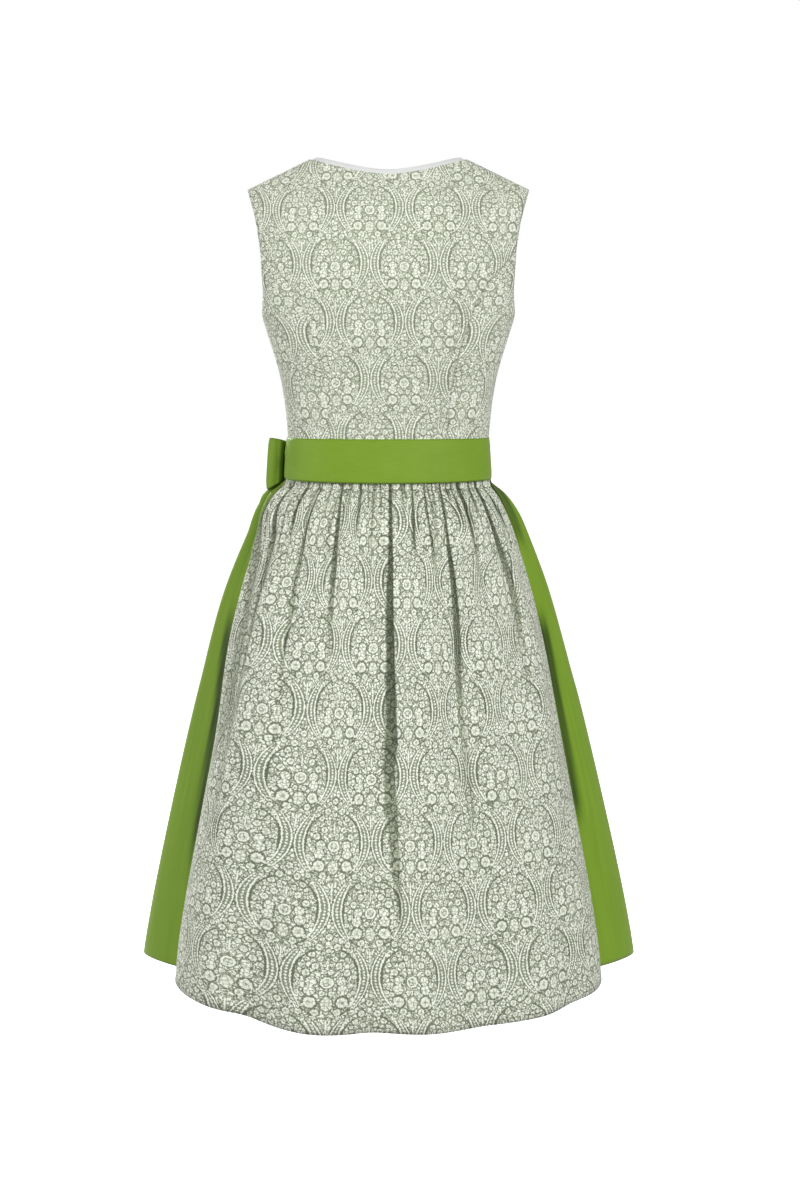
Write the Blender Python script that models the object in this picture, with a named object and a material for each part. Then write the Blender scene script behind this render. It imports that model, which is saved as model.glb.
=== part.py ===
"""Dirndl dress with a tied apron, filled out as it is worn, modelled in metres with +Z up.

The wearer faces -Y and their left side is +X. The origin is halfway between the two points
where the shoulder seams meet the neckline, and the dress hangs from there.
Angles go round the body in degrees: 0 is the back centre, 90 the wearer's left side,
180 the front centre and -90 the wearer's right side.
"""

import math
from bisect import bisect_right
from collections import namedtuple

import bmesh
import bpy
from mathutils import Matrix, Vector

# ---------------------------------------------------------------- driving dimensions

WALL = 0.0012            # thickness of the cloth walls
SEAM_GAP = 0.0003        # space between two pieces along a seam
LAYER_STEP = WALL + SEAM_GAP
SEAM_PLANE = 1e-6        # shoulder and side seams lie this near y = 0, and walls end square there

WAIST_Z = -0.402         # waist seam
UNDERARM_Z = -0.207      # lowest point of the armhole
SHOULDER_Z = -0.040      # outer end of the shoulder seam
NECK_HALF = 0.105        # from the centre to the inner end of the shoulder seam
NECK_BACK_DROP = 0.023   # depth of the neckline at the back
NECK_FRONT_DROP = 0.112  # depth of the neckline at the front
NECK_BACK_POWER = 1.6
NECK_FRONT_POWER = 2.4
NAPE_RISE = 0.030        # the shoulder line carried on to the nape, above the neck points

SKIRT_HEM_Z = -1.107
APRON_HEM_Z = -1.080
APRON_TOP_Z = -0.4320
BAND_TOP_Z = -0.373
BAND_BOTTOM_Z = -0.431
BAND_MIDDLE_Z = (BAND_TOP_Z + BAND_BOTTOM_Z) / 2

BACK_ROUNDNESS = 2.3     # exponent of the sections: 2 is an ellipse, more is squarer
FRONT_ROUNDNESS = 2.2
SKIRT_ROUNDNESS = 2.15

ARMHOLE_CUT_BACK = 27.0  # degrees that the armhole takes from the side at the back
ARMHOLE_CUT_FRONT = 38.0
ARMHOLE_MIDDLE_Z = (UNDERARM_Z + SHOULDER_Z) / 2

SHOULDER_ROUNDING = 0.12  # height over which the shoulders round off
SHOULDER_SHARE = 0.55    # how level the cloth runs in from the neck points
BUST_X = 0.082
BUST_Z = -0.262
BUST_RISE = 0.016
BUST_SPREAD = 0.055
BUST_BRIDGE = 0.045      # the cloth spans the middle level over about this half width

LAP_RIGHT = 0.012        # how far the right front passes the centre
LAP_LEFT = 0.009
LAP_BLEND = 0.008        # the left front sinks under the right one over this width
LAP_SINK = 0.0017
LEFT_LAP = (-LAP_LEFT, 0.0, LAP_RIGHT)      # the fronts' columns over the lap
RIGHT_LAP = (-LAP_RIGHT, 0.0, LAP_LEFT)

TRIM_WALL = 0.0010
TRIM_INSIDE = 0.0020     # from the middle of the bodice's wall to the middle of the trim's
TRIM_TURN_INSIDE = 0.0009  # and this much more where it turns over the shoulders
TRIM_ABOVE = 0.0085      # how far the trim stands out of the neckline
TRIM_BELOW = 0.0020      # how far it reaches down inside

SEAM_ROWS = 8            # rows of the wall from the waist up to the armhole's middle
YOKE_ROWS = 6            # rows from there up to the shoulder
YOKE_ROW_POWER = 1.8     # these lie closer together toward the shoulder

BUTTON_COUNT = SEAM_ROWS - 1  # one in the middle of each row of the wall above the band
BUTTON_RADIUS = 0.0065
BUTTON_THICKNESS = 0.0026
BUTTON_SEAT = 0.0005     # the thread under a button holds it this far off the cloth
BUTTON_RIM = 0.0014      # width of the rim round its sunk middle
BUTTON_SUNK = 0.0005


# ---------------------------------------------------------------- tables

Torso = namedtuple("Torso", "z half_width back front")
TORSO = (
    Torso(-0.402, 0.1334, 0.0770, 0.0920),
    Torso(-0.370, 0.1344, 0.0810, 0.1000),
    Torso(-0.328, 0.1382, 0.0875, 0.1090),
    Torso(-0.292, 0.1439, 0.0930, 0.1160),
    Torso(-0.265, 0.1507, 0.0970, 0.1190),
    Torso(-0.236, 0.1598, 0.1000, 0.1180),
    Torso(-0.207, 0.1685, 0.1020, 0.1140),
    Torso(-0.180, 0.1740, 0.1025, 0.1070),
    Torso(-0.141, 0.1840, 0.1005, 0.0950),
    Torso(-0.104, 0.1880, 0.0950, 0.0830),
    Torso(-0.070, 0.1885, 0.0850, 0.0720),
    Torso(-0.040, 0.1880, 0.0730, 0.0620),
    Torso(0.040, 0.1880, 0.0500, 0.0440),
)

Seam = namedtuple("Seam", "z x")
BACK_SEAM = (
    Seam(-0.402, 0.0740),
    Seam(-0.310, 0.0820),
    Seam(-0.250, 0.0950),
    Seam(-0.210, 0.1080),
    Seam(-0.172, 0.1260),
)
FRONT_SEAM = (
    Seam(-0.402, 0.0580),
    Seam(-0.330, 0.0710),
    Seam(-0.270, 0.0860),
    Seam(-0.215, 0.1000),
    Seam(-0.165, 0.1230),
)

Band = namedtuple("Band", "z half_width back front")
BAND = (
    Band(BAND_BOTTOM_Z, 0.1398, 0.0868, 0.1018),
    Band(BAND_TOP_Z, 0.1359, 0.0828, 0.1020),
)

Skirt = namedtuple("Skirt", "z half_width gather")
SKIRT = (
    Skirt(SKIRT_HEM_Z, 0.2856, 0.0000),
    Skirt(-1.051, 0.2800, 0.0000),
    Skirt(-0.961, 0.2663, 0.0000),
    Skirt(-0.840, 0.2450, 0.0000),
    Skirt(-0.717, 0.2220, 0.0000),
    Skirt(-0.656, 0.2106, 0.0002),
    Skirt(-0.583, 0.1938, 0.0007),
    Skirt(-0.516, 0.1742, 0.0016),
    Skirt(-0.480, 0.1615, 0.0021),
    Skirt(-0.456, 0.1502, 0.0024),
    Skirt(-0.445, 0.1440, 0.0019),
    Skirt(BAND_BOTTOM_Z, 0.1360, 0.0006),
    Skirt(WAIST_Z, 0.1350, 0.0005),
)
SKIRT_WAIST = 0.1360     # half width, back and front depth of the skirt under the band
SKIRT_WAIST_BACK = 0.0830
SKIRT_WAIST_FRONT = 0.0980
SKIRT_HEM_HALF = 0.2856  # the same at the hem
SKIRT_HEM_BACK = 0.2900
SKIRT_HEM_FRONT = 0.2650
SKIRT_HEM_SHIFT = 0.070  # the hem's widest place lies this far behind the waist's
HEM_SIDE_RISE = 0.018    # the hem is this much higher at the sides than at the back centre
HEM_RISE_START = -0.800
APRON_EDGE_DROP = 0.006  # the apron's hem hangs this much lower at its side edges

Fold = namedtuple("Fold", "angle_top angle_hem z_top z_end depth spread")
SKIRT_FOLDS = (
    Fold(-1.3, -3.0, -0.432, -1.000, 0.0160, 2.6),
    Fold(-26.0, -24.5, -0.450, -0.930, 0.0130, 2.7),
    Fold(-57.0, -59.0, -0.436, -0.800, 0.0090, 3.0),
    Fold(23.0, 18.5, -0.434, -0.760, 0.0105, 2.6),
    Fold(39.0, 35.5, -0.455, -0.880, 0.0090, 3.0),
    Fold(60.0, 74.0, -0.440, -0.960, 0.0075, 3.2),
    Fold(82.0, 86.0, -0.450, -0.800, -0.0110, 6.0),
    Fold(14.5, 14.0, -0.432, -0.530, 0.0045, 1.9),
    Fold(-13.0, -14.0, -0.432, -0.520, 0.0045, 1.9),
    Fold(-19.4, -20.0, -0.434, -0.560, 0.0050, 1.9),
    Fold(-36.0, -37.0, -0.432, -0.500, 0.0040, 1.9),
    Fold(-47.0, -48.0, -0.436, -0.600, 0.0035, 2.2),
    Fold(104.0, 100.0, -0.440, -0.900, 0.0080, 3.4),
    Fold(133.0, 130.0, -0.436, -0.820, 0.0090, 3.2),
    Fold(168.0, 171.0, -0.440, -0.960, 0.0110, 3.0),
    Fold(206.0, 203.0, -0.436, -0.760, 0.0080, 3.2),
    Fold(241.0, 246.0, -0.440, -0.880, 0.0090, 3.4),
)
Wave = namedtuple("Wave", "angle z_start rise spread")
SKIRT_HEM_WAVES = (
    Wave(17.0, -0.72, 0.0225, 11.0),
    Wave(-9.0, -0.80, 0.0100, 7.5),
    Wave(3.5, -0.86, -0.0080, 4.5),
    Wave(-24.0, -0.88, -0.0050, 6.0),
    Wave(-42.0, -0.80, 0.0040, 7.0),
    Wave(40.0, -0.82, -0.0110, 8.0),
    Wave(-57.0, -0.82, -0.0060, 8.0),
    Wave(118.0, -0.80, 0.0080, 11.0),
    Wave(152.0, -0.84, -0.0060, 9.0),
    Wave(187.0, -0.80, 0.0090, 11.0),
    Wave(224.0, -0.84, 0.0070, 10.0),
)

Apron = namedtuple("Apron", "z stand_off gather")
APRON = (
    Apron(APRON_HEM_Z, 0.0658, 0.0004),
    Apron(-0.974, 0.0601, 0.0006),
    Apron(-0.725, 0.0436, 0.0012),
    Apron(-0.677, 0.0390, 0.0015),
    Apron(-0.589, 0.0317, 0.0021),
    Apron(-0.515, 0.0245, 0.0028),
    Apron(-0.470, 0.0205, 0.0030),
    Apron(-0.450, 0.0180, 0.0024),
    Apron(-0.438, 0.0180, 0.0012),
    Apron(APRON_TOP_Z, 0.0034, 0.0003),
)
APRON_EDGE_ANGLE = 93.5  # where the apron's side edges lie
APRON_FULL_ANGLE = 105.0  # where it stands off the skirt by its full measure
APRON_EDGE_STAND = 0.0062
APRON_TUCK = 0.012       # the apron presses the skirt in by this much under its edges
TUCK_START_ANGLE = 87.0
TUCK_END_ANGLE = 95.0
TUCK_TOP_Z = -0.440
TUCK_FULL_Z = -0.600
APRON_FRONT_SHARE = 0.62  # share of the full measure left at the front centre
APRON_EDGE_GATHER = 0.15  # share of the gathers' depth left at the side edges
APRON_FOLDS = (
    Fold(105.0, 104.0, -0.440, -1.060, -0.0065, 7.0),
    Fold(119.0, 115.0, -0.436, -1.060, 0.0050, 3.6),
    Fold(131.0, 127.0, -0.436, -1.060, 0.0090, 4.4),
    Fold(155.0, 152.0, -0.436, -1.060, 0.0070, 4.2),
    Fold(173.0, 176.0, -0.436, -1.060, 0.0110, 4.6),
    Fold(199.0, 203.0, -0.436, -1.060, 0.0080, 4.2),
    Fold(224.0, 229.0, -0.436, -1.060, 0.0100, 4.6),
    Fold(246.0, 248.0, -0.436, -1.060, 0.0060, 4.0),
    Fold(255.0, 255.0, -0.436, -0.760, 0.0055, 5.5),
)

GATHER_SPREAD = 0.6      # how far, in gathers, a gather may stray from even spacing
BACK_GATHERS = 30
FRONT_GATHERS = 22
APRON_GATHERS = 26

SKIRT_ROWS = (WAIST_Z, BAND_BOTTOM_Z, -0.445, -0.464, -0.505, -0.570, -0.680, -0.860, SKIRT_HEM_Z)
APRON_ROWS = (APRON_TOP_Z, -0.438, -0.448, -0.468, -0.520, -0.600, -0.730, -0.900, APRON_HEM_Z)

KNOT_ANGLE = 140.0
KNOT_HALF_ANGLE = 6.0
KNOT_HALF_HEIGHT = 0.015
KNOT_BASE = 0.0025       # the knot's thickness at its edges
KNOT_RISE = 0.013        # and this much more in the middle
TIE_LIFT = LAYER_STEP * 1.15  # the tie passes over the band's left end this far out
TIE_LIFT_START = APRON_EDGE_ANGLE - 7
TIE_LIFT_END = APRON_EDGE_ANGLE - 2
TIE_END_ANGLE = KNOT_ANGLE - 4
TIE_NARROW_START = 117.0  # from here the tie draws together
TIE_NARROW_END = 131.0
TIE_NARROW = 0.5         # to this share of its width
TAIL_RIPPLE = 0.0016     # the tails wave across by this much
TAIL_RIPPLE_START = -0.440
TAIL_RIPPLE_FULL = -0.520

Loop = namedtuple("Loop", "angle stand_off z_top z_bottom")
LOOP_SIDE = (
    Loop(133.8, 0.0090, -0.388, -0.416),
    Loop(126.0, 0.0170, -0.380, -0.424),
    Loop(116.0, 0.0245, -0.374, -0.433),
    Loop(107.0, 0.0285, -0.371, -0.439),
    Loop(100.0, 0.0270, -0.371, -0.440),
    Loop(96.5, 0.0190, -0.371, -0.434),
    Loop(100.0, 0.0105, -0.373, -0.430),
    Loop(108.0, 0.0064, -0.376, -0.428),
    Loop(120.0, 0.0050, -0.382, -0.424),
    Loop(133.8, 0.0046, -0.388, -0.416),
)
LOOP_FRONT = (
    Loop(146.2, 0.0090, -0.388, -0.416),
    Loop(154.0, 0.0170, -0.381, -0.424),
    Loop(165.0, 0.0240, -0.375, -0.432),
    Loop(176.0, 0.0240, -0.373, -0.436),
    Loop(183.0, 0.0190, -0.374, -0.435),
    Loop(184.5, 0.0125, -0.375, -0.432),
    Loop(181.0, 0.0072, -0.376, -0.429),
    Loop(170.0, 0.0052, -0.379, -0.427),
    Loop(158.0, 0.0048, -0.383, -0.423),
    Loop(146.2, 0.0046, -0.388, -0.416),
)

Stop = namedtuple("Stop", "index angle stand_off z_top z_bottom")
LOOP_ROWS = 3

Tail = namedtuple("Tail", "z angle half_width stand_off")
TAIL_SIDE = (
    Tail(-0.800, 127.5, 0.0270, 0.0080),
    Tail(-0.700, 128.0, 0.0262, 0.0080),
    Tail(-0.600, 128.8, 0.0250, 0.0084),
    Tail(-0.520, 130.0, 0.0225, 0.0088),
    Tail(-0.460, 132.6, 0.0150, 0.0084),
    Tail(-0.4175, 136.6, 0.0062, 0.0050),
)
TAIL_FRONT = (
    Tail(-0.765, 152.5, 0.0265, 0.0080),
    Tail(-0.680, 152.2, 0.0260, 0.0080),
    Tail(-0.600, 151.4, 0.0250, 0.0084),
    Tail(-0.520, 150.0, 0.0225, 0.0088),
    Tail(-0.460, 147.4, 0.0150, 0.0084),
    Tail(-0.4175, 143.4, 0.0062, 0.0050),
)

# ---------------------------------------------------------------- small helpers


def ascending(table):
    """The table's rows, lowest first column first."""
    return table if table[0][0] < table[-1][0] else tuple(reversed(table))


def along(table, place, column):
    """Smooth value of one column at a place in the table's first column."""
    rows = ascending(table)
    keys = [row[0] for row in rows]
    values = [getattr(row, column) for row in rows]
    last = len(keys) - 1
    place = min(max(place, keys[0]), keys[last])
    low = min(bisect_right(keys, place) - 1, last - 1)

    def slope(index):
        before = max(index - 1, 0)
        after = min(index + 1, last)
        return (values[after] - values[before]) / (keys[after] - keys[before])

    step = keys[low + 1] - keys[low]
    t = (place - keys[low]) / step
    bend_out = t * (1 - t) ** 2 * slope(low) * step
    bend_in = t * t * (t - 1) * slope(low + 1) * step
    blend = t * t * (3 - 2 * t)
    return values[low] + blend * (values[low + 1] - values[low]) + bend_out + bend_in


def mix(start, end, share):
    return start + (end - start) * share


def smooth(start, end, value):
    """0 before start, 1 after end and a soft step between; start may lie after end."""
    t = min(max((value - start) / (end - start), 0.0), 1.0)
    return t * t * (3 - 2 * t)


def bell(distance, spread):
    return math.exp(-((distance / spread) ** 2))


def turn_between(angle, other):
    """Signed difference of two angles in degrees, from -180 to 180."""
    return (angle - other + 180.0) % 360.0 - 180.0


def squarish(value, roundness):
    return math.copysign(abs(value) ** (2 / roundness), value)


# ---------------------------------------------------------------- bodice surface


def shoulder_line(x):
    """Height of the shoulder ridge above a place across the body."""
    x = abs(x)
    if x < NECK_HALF:
        return NAPE_RISE * (1 - (x / NECK_HALF) ** 2)
    return SHOULDER_Z * (x - NECK_HALF) / (along(TORSO, SHOULDER_Z, "half_width") - NECK_HALF)


def shoulder_round(x, z):
    """0 on the shoulder ridge, rising to 1 below it like a quarter circle."""
    below = min(max((shoulder_line(x) - z) / SHOULDER_ROUNDING, 0.0), 1.0)
    return math.sqrt(1 - (1 - below) ** 2)


def torso(x, z, side):
    """Point on the bodice's cloth: side is +1 for the back and -1 for the front."""
    roundness = BACK_ROUNDNESS if side > 0 else FRONT_ROUNDNESS
    across = min(abs(x) / along(TORSO, z, "half_width"), 1.0)
    fullness = (1 - across ** roundness) ** (1 / roundness) * shoulder_round(x, z)
    depth = along(TORSO, z, "back" if side > 0 else "front") * fullness
    if side < 0:
        aside = (abs(x) ** 3 + BUST_BRIDGE ** 3) ** (1 / 3) - BUST_X
        mound = bell(math.hypot(aside, z - BUST_Z), BUST_SPREAD)
        depth += BUST_RISE * mound * min(fullness * 1.6, 1.0)
    return Vector((x, side * depth, z))


def torso_round(angle, z, side):
    """The same surface by its angle from the centre line, 90 being the side seam."""
    roundness = BACK_ROUNDNESS if side > 0 else FRONT_ROUNDNESS
    x = along(TORSO, z, "half_width") * squarish(math.sin(math.radians(angle)), roundness)
    return torso(x, z, side)


def angle_at(x, z, side):
    roundness = BACK_ROUNDNESS if side > 0 else FRONT_ROUNDNESS
    across = min(x / along(TORSO, z, "half_width"), 1.0)
    return math.degrees(math.asin(across ** (roundness / 2)))


def armhole_cut(side):
    return ARMHOLE_CUT_BACK if side > 0 else ARMHOLE_CUT_FRONT


def armhole_x(z, side):
    """How far out the armhole's edge lies at a height above the underarm."""
    rise = (z - UNDERARM_Z) / (SHOULDER_Z - UNDERARM_Z)
    cut = armhole_cut(side) * math.sqrt(max(math.sin(math.pi * rise), 0.0))
    return abs(torso_round(90 - cut, z, side).x)


def armhole_z(angle, side):
    """Height of the armhole's lower edge at an angle between its middle and the side seam."""
    share = min(max((90 - angle) / armhole_cut(side), 0.0), 1.0)
    return mix(UNDERARM_Z, SHOULDER_Z, math.asin(share ** 2) / math.pi)


def seam_x(z, side):
    table = BACK_SEAM if side > 0 else FRONT_SEAM
    end = Seam(ARMHOLE_MIDDLE_Z, armhole_x(ARMHOLE_MIDDLE_Z, side))
    return along(table + (end,), z, "x")


def neckline_z(x, side):
    share = min(abs(x) / NECK_HALF, 1.0)
    if side > 0:
        return -NECK_BACK_DROP * (1 - share ** NECK_BACK_POWER)
    return -NECK_FRONT_DROP * (1 - share ** NECK_FRONT_POWER)


def panel_top(x, side):
    return neckline_z(x, side) if abs(x) < NECK_HALF else shoulder_line(x)


def row_height_and_reach(row, side, top_z):
    """Height of a row on a column whose top is at top_z, and how far out its armhole edge lies."""
    if row <= SEAM_ROWS:
        z = mix(WAIST_Z, ARMHOLE_MIDDLE_Z, row / SEAM_ROWS)
        return z, seam_x(z, side)
    left = (1 - (row - SEAM_ROWS) / YOKE_ROWS) ** YOKE_ROW_POWER
    reach = armhole_x(mix(SHOULDER_Z, ARMHOLE_MIDDLE_Z, left), side)
    return mix(top_z, ARMHOLE_MIDDLE_Z, left), reach


# ---------------------------------------------------------------- walls of cloth


def unit_step(place, row, column, row_step, column_step):
    """Direction in which the surface runs from a place in a row or column."""
    return (place(row + row_step, column + column_step) - place(row, column)).normalized()


def make_wall(name, place, rows, columns, material, closed=False, wall=WALL, flip=False):
    """Closed wall of cloth about the surface place(row, column).

    Its open edges are drawn in by half a seam gap. Rows run up and columns run to the
    left seen from outside, unless flip is set.
    """
    tiny = 0.03
    column_count = columns if closed else columns + 1
    outer = {}
    inner = {}
    for row in range(rows + 1):
        for column in range(column_count):
            row_way = -tiny if row == rows else tiny
            column_way = -tiny if column == columns else tiny
            up = unit_step(place, row, column, row_way, 0) * math.copysign(1, row_way)
            over = unit_step(place, row, column, 0, column_way) * math.copysign(1, column_way)
            normal = over.cross(up).normalized()
            if flip:
                normal.negate()
            point = place(row, column)
            if abs(point.y) < SEAM_PLANE:
                normal = Vector((normal.x, 0, normal.z)).normalized()
            if row in (0, rows):
                inward = (up - over * up.dot(over)).normalized()
                point += inward * (SEAM_GAP / 2 if row == 0 else -SEAM_GAP / 2)
            if column in (0, columns) and not closed:
                inward = (over - up * over.dot(up)).normalized()
                point += inward * (SEAM_GAP / 2 if column == 0 else -SEAM_GAP / 2)
            outer[row, column] = point + normal * wall / 2
            inner[row, column] = point - normal * wall / 2
    return skin_wall(name, outer, inner, rows, columns, material, closed)


def skin_wall(name, outer, inner, rows, columns, material, closed=False):
    """Mesh of a wall from the points of its two faces."""
    bm = bmesh.new()
    faces = ({key: bm.verts.new(point) for key, point in outer.items()},
             {key: bm.verts.new(point) for key, point in inner.items()})

    def corner(side, row, column):
        return faces[side][row, column % columns if closed else column]

    for row in range(rows):
        for column in range(columns):
            square = [(row, column), (row, column + 1), (row + 1, column + 1), (row + 1, column)]
            for side in (0, 1):
                bm.faces.new([corner(side, *key) for key in square])
    edges = [((row, column), (row, column + 1)) for row in (0, rows) for column in range(columns)]
    if not closed:
        edges += [((row, column), (row + 1, column)) for column in (0, columns)
                  for row in range(rows)]
    for start, end in edges:
        bm.faces.new([corner(0, *start), corner(0, *end), corner(1, *end), corner(1, *start)])
    bmesh.ops.recalc_face_normals(bm, faces=bm.faces)
    return add_object(name, bm, material)


def add_object(name, bm, material, sharp_angle=40):
    mesh = bpy.data.meshes.new(name)
    bm.to_mesh(mesh)
    bm.free()
    mesh.shade_smooth()
    mesh.set_sharp_from_angle(angle=math.radians(sharp_angle))
    mesh.materials.append(material)
    thing = bpy.data.objects.new(name, mesh)
    bpy.context.scene.collection.objects.link(thing)
    return thing


def make_material(name, colour, roughness, metallic=0.0):
    material = bpy.data.materials.new(name)
    material.use_nodes = True
    shader = material.node_tree.nodes["Principled BSDF"]
    shader.inputs["Base Color"].default_value = (*colour, 1.0)
    shader.inputs["Roughness"].default_value = roughness
    shader.inputs["Metallic"].default_value = metallic
    return material


# ---------------------------------------------------------------- bodice pieces

SHOULDER_HALF = along(TORSO, SHOULDER_Z, "half_width")
NECK_STEPS = (0.0, 0.30, 0.57, 0.80, 0.94, 1.0)      # columns across half the neckline
SHOULDER_STEPS = (0.34, 0.67, 1.0)                   # and along one shoulder seam
HALF_TOP = (tuple(NECK_HALF * step for step in NECK_STEPS)
            + tuple(mix(NECK_HALF, SHOULDER_HALF, step) for step in SHOULDER_STEPS))
BACK_TOP = tuple(-x for x in reversed(HALF_TOP[1:])) + HALF_TOP
LAP_END = LAP_RIGHT + LAP_BLEND
FRONT_TOP = (LAP_END,) + HALF_TOP[2:]
SIDE_COLUMNS = 5


def between(values, place):
    """Value at a fractional place in a row of evenly numbered values."""
    low = min(int(place), len(values) - 2)
    return mix(values[low], values[low + 1], place - low)


def make_back_centre(material):
    def place(row, column):
        top_x = between(BACK_TOP, column)
        z, reach = row_height_and_reach(row, 1, panel_top(top_x, 1))
        return torso(top_x / SHOULDER_HALF * reach, z, 1)

    rows = SEAM_ROWS + YOKE_ROWS
    return make_wall("back_centre", place, rows, len(BACK_TOP) - 1, material, flip=True)


def front_x(row, column, lap_columns):
    """Place across a front: level columns over the lap, then shares of the way to its edge."""
    top_x = between(lap_columns + FRONT_TOP, column)
    if top_x <= LAP_END:
        return top_x
    _, reach = row_height_and_reach(row, -1, 0.0)
    return mix(LAP_END, reach, (top_x - LAP_END) / (SHOULDER_HALF - LAP_END))


def front_z(row, column, lap_columns):
    top_z = panel_top(between(lap_columns + FRONT_TOP, column), -1)
    return row_height_and_reach(row, -1, top_z)[0]


def make_front(name, hand, lap_columns, sink, material):
    """Front from its lap over the centre to the princess seam; hand is +1 on the left."""

    def place(row, column):
        x = front_x(row, column, lap_columns)
        point = torso(x, front_z(row, column, lap_columns), -1)
        point.y += sink * (1 - smooth(LAP_RIGHT, LAP_END, x))
        return Vector((hand * point.x, point.y, point.z))

    rows = SEAM_ROWS + YOKE_ROWS
    columns = len(lap_columns) + len(FRONT_TOP) - 1
    return make_wall(name, place, rows, columns, material, flip=hand < 0)


def make_side(name, hand, side, material):
    """Panel from the princess seam to the side seam, cut away above by the armhole."""
    top_angle = 90 - armhole_cut(side)

    def place(row, column):
        share = column / SIDE_COLUMNS
        up = row / SEAM_ROWS
        seam_z = mix(WAIST_Z, ARMHOLE_MIDDLE_Z, up)
        angle = mix(angle_at(seam_x(seam_z, side), seam_z, side), 90, share)
        z = mix(WAIST_Z, armhole_z(mix(top_angle, 90, share), side), up)
        point = torso_round(angle, z, side)
        return Vector((hand * point.x, point.y, point.z))

    return make_wall(name, place, SEAM_ROWS, SIDE_COLUMNS, material, flip=hand * side > 0)


def make_neck_trim(material):
    """Narrow strip inside the neckline that stands above it all the way round."""
    back = [(x, 1) for x in BACK_TOP if abs(x) <= NECK_HALF]
    half_front = LEFT_LAP[1:] + tuple(x for x in FRONT_TOP[1:] if x < NECK_HALF)
    front = [(x, -1) for x in reversed(half_front)] + [(-x, -1) for x in half_front[1:]]
    stops = back + front

    def place(row, column):
        x, side = stops[int(round(column)) % len(stops)]
        under_lap = 1 - smooth(LAP_END, LAP_END * 2.2, abs(x)) if side < 0 else 0.0
        turning = smooth(0.85 * NECK_HALF, NECK_HALF, abs(x))
        inside = TRIM_INSIDE + LAP_SINK * under_lap + TRIM_TURN_INSIDE * turning
        edge, normal, upward = neck_edge(x, side)
        height = mix(-TRIM_BELOW, TRIM_ABOVE, row)
        return edge - normal * inside + upward * height, normal

    outer = {}
    inner = {}
    for row in (0, 1):
        for column in range(len(stops)):
            point, normal = place(row, column)
            outer[row, column] = point + normal * TRIM_WALL / 2
            inner[row, column] = point - normal * TRIM_WALL / 2
    return skin_wall("neck_trim", outer, inner, 1, len(stops), material, closed=True)


def neck_edge(x, side):
    """Point of the neckline with the cloth's normal and its way up past the edge."""
    tiny = 1e-4
    across = math.asin(min(max(x / NECK_HALF, -1.0), 1.0))

    def neck_point(turn):
        """Neckline by its turn from the back centre, going on over the neck points."""
        neck_x = NECK_HALF * math.sin(turn)
        half = 1 if math.cos(turn) >= 0 else -1
        return torso(neck_x, neckline_z(neck_x, half), half)

    turn = across if side > 0 else math.pi - across
    edge = torso(x, neckline_z(x, side), side)
    edge_way = (neck_point(turn + tiny) - neck_point(turn - tiny)).normalized()
    aside = abs(math.sin(turn))
    away_x = x + math.copysign(tiny, x) * aside
    away_z = neckline_z(x, side) - tiny * (aside * SHOULDER_SHARE + abs(math.cos(turn)))
    away = torso(away_x, away_z, side) - edge
    away -= edge_way * away.dot(edge_way)
    normal = edge_way.cross(away).normalized()
    if normal.dot(Vector((0, side, 1))) < 0:
        normal.negate()
    return edge, normal, -away.normalized()


def lap_point(row):
    """Point of the right front's wall on the centre line at a row."""
    column = RIGHT_LAP.index(0.0)
    return torso(0, front_z(row, column, RIGHT_LAP), -1)


def make_buttons(material):
    for index in range(BUTTON_COUNT):
        row = BUTTON_COUNT - index
        seat = lap_point(row).lerp(lap_point(row + 1), 0.5)
        up = (lap_point(row + 1) - lap_point(row)).normalized()
        normal = Vector((1, 0, 0)).cross(up).normalized()
        bm = bmesh.new()
        bmesh.ops.create_cone(bm, cap_ends=True, segments=16, radius1=BUTTON_RADIUS,
                              radius2=BUTTON_RADIUS * 0.88, depth=BUTTON_THICKNESS)
        top = max(bm.faces, key=lambda face: face.calc_center_median().z)
        bmesh.ops.inset_region(bm, faces=[top], thickness=BUTTON_RIM)
        bmesh.ops.translate(bm, verts=top.verts, vec=(0, 0, -BUTTON_SUNK))
        turn = normal.to_track_quat("Z", "Y").to_matrix().to_4x4()
        centre = seat + normal * (WALL / 2 + BUTTON_SEAT + BUTTON_THICKNESS / 2)
        bm.transform(Matrix.Translation(centre) @ turn)
        add_object(f"button_{index + 1}", bm, material)


# ---------------------------------------------------------------- skirt and apron surfaces


def skirt_section(angle, z):
    """Point of the skirt's plain section and its outward direction, both level."""
    half = along(SKIRT, z, "half_width")
    flare = (half - SKIRT_WAIST) / (SKIRT_HEM_HALF - SKIRT_WAIST)
    turn = math.radians(angle)
    shift = SKIRT_HEM_SHIFT * flare
    if math.cos(turn) > 0:
        depth = mix(SKIRT_WAIST_BACK, SKIRT_HEM_BACK, flare) - shift
    else:
        depth = mix(SKIRT_WAIST_FRONT, SKIRT_HEM_FRONT, flare) + shift
    x = half * squarish(math.sin(turn), SKIRT_ROUNDNESS)
    y = depth * squarish(math.cos(turn), SKIRT_ROUNDNESS)
    outward = Vector((math.sin(turn) / half, math.cos(turn) / depth, 0)).normalized()
    return Vector((x, y + shift, z)), outward


def fold_depth(folds, angle, z):
    """How far the folds press the cloth in: each is a valley between two low rolls."""
    total = 0.0
    for fold in folds:
        down = (fold.z_top - z) / (fold.z_top - fold.z_end)
        if 0 < down < 1:
            centre = mix(fold.angle_top, fold.angle_hem, down)
            strength = smooth(0, 0.22, down) * smooth(1, 0.45, down)
            off = turn_between(angle, centre)
            valley = bell(off, fold.spread) - 0.4 * bell(off, fold.spread * 2.3)
            total += fold.depth * strength * valley
    return total


def hem_waves(angle, z):
    total = 0.0
    for wave in SKIRT_HEM_WAVES:
        grown = smooth(wave.z_start, SKIRT_HEM_Z, z)
        total += wave.rise * grown * bell(turn_between(angle, wave.angle), wave.spread)
    return total


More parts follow.
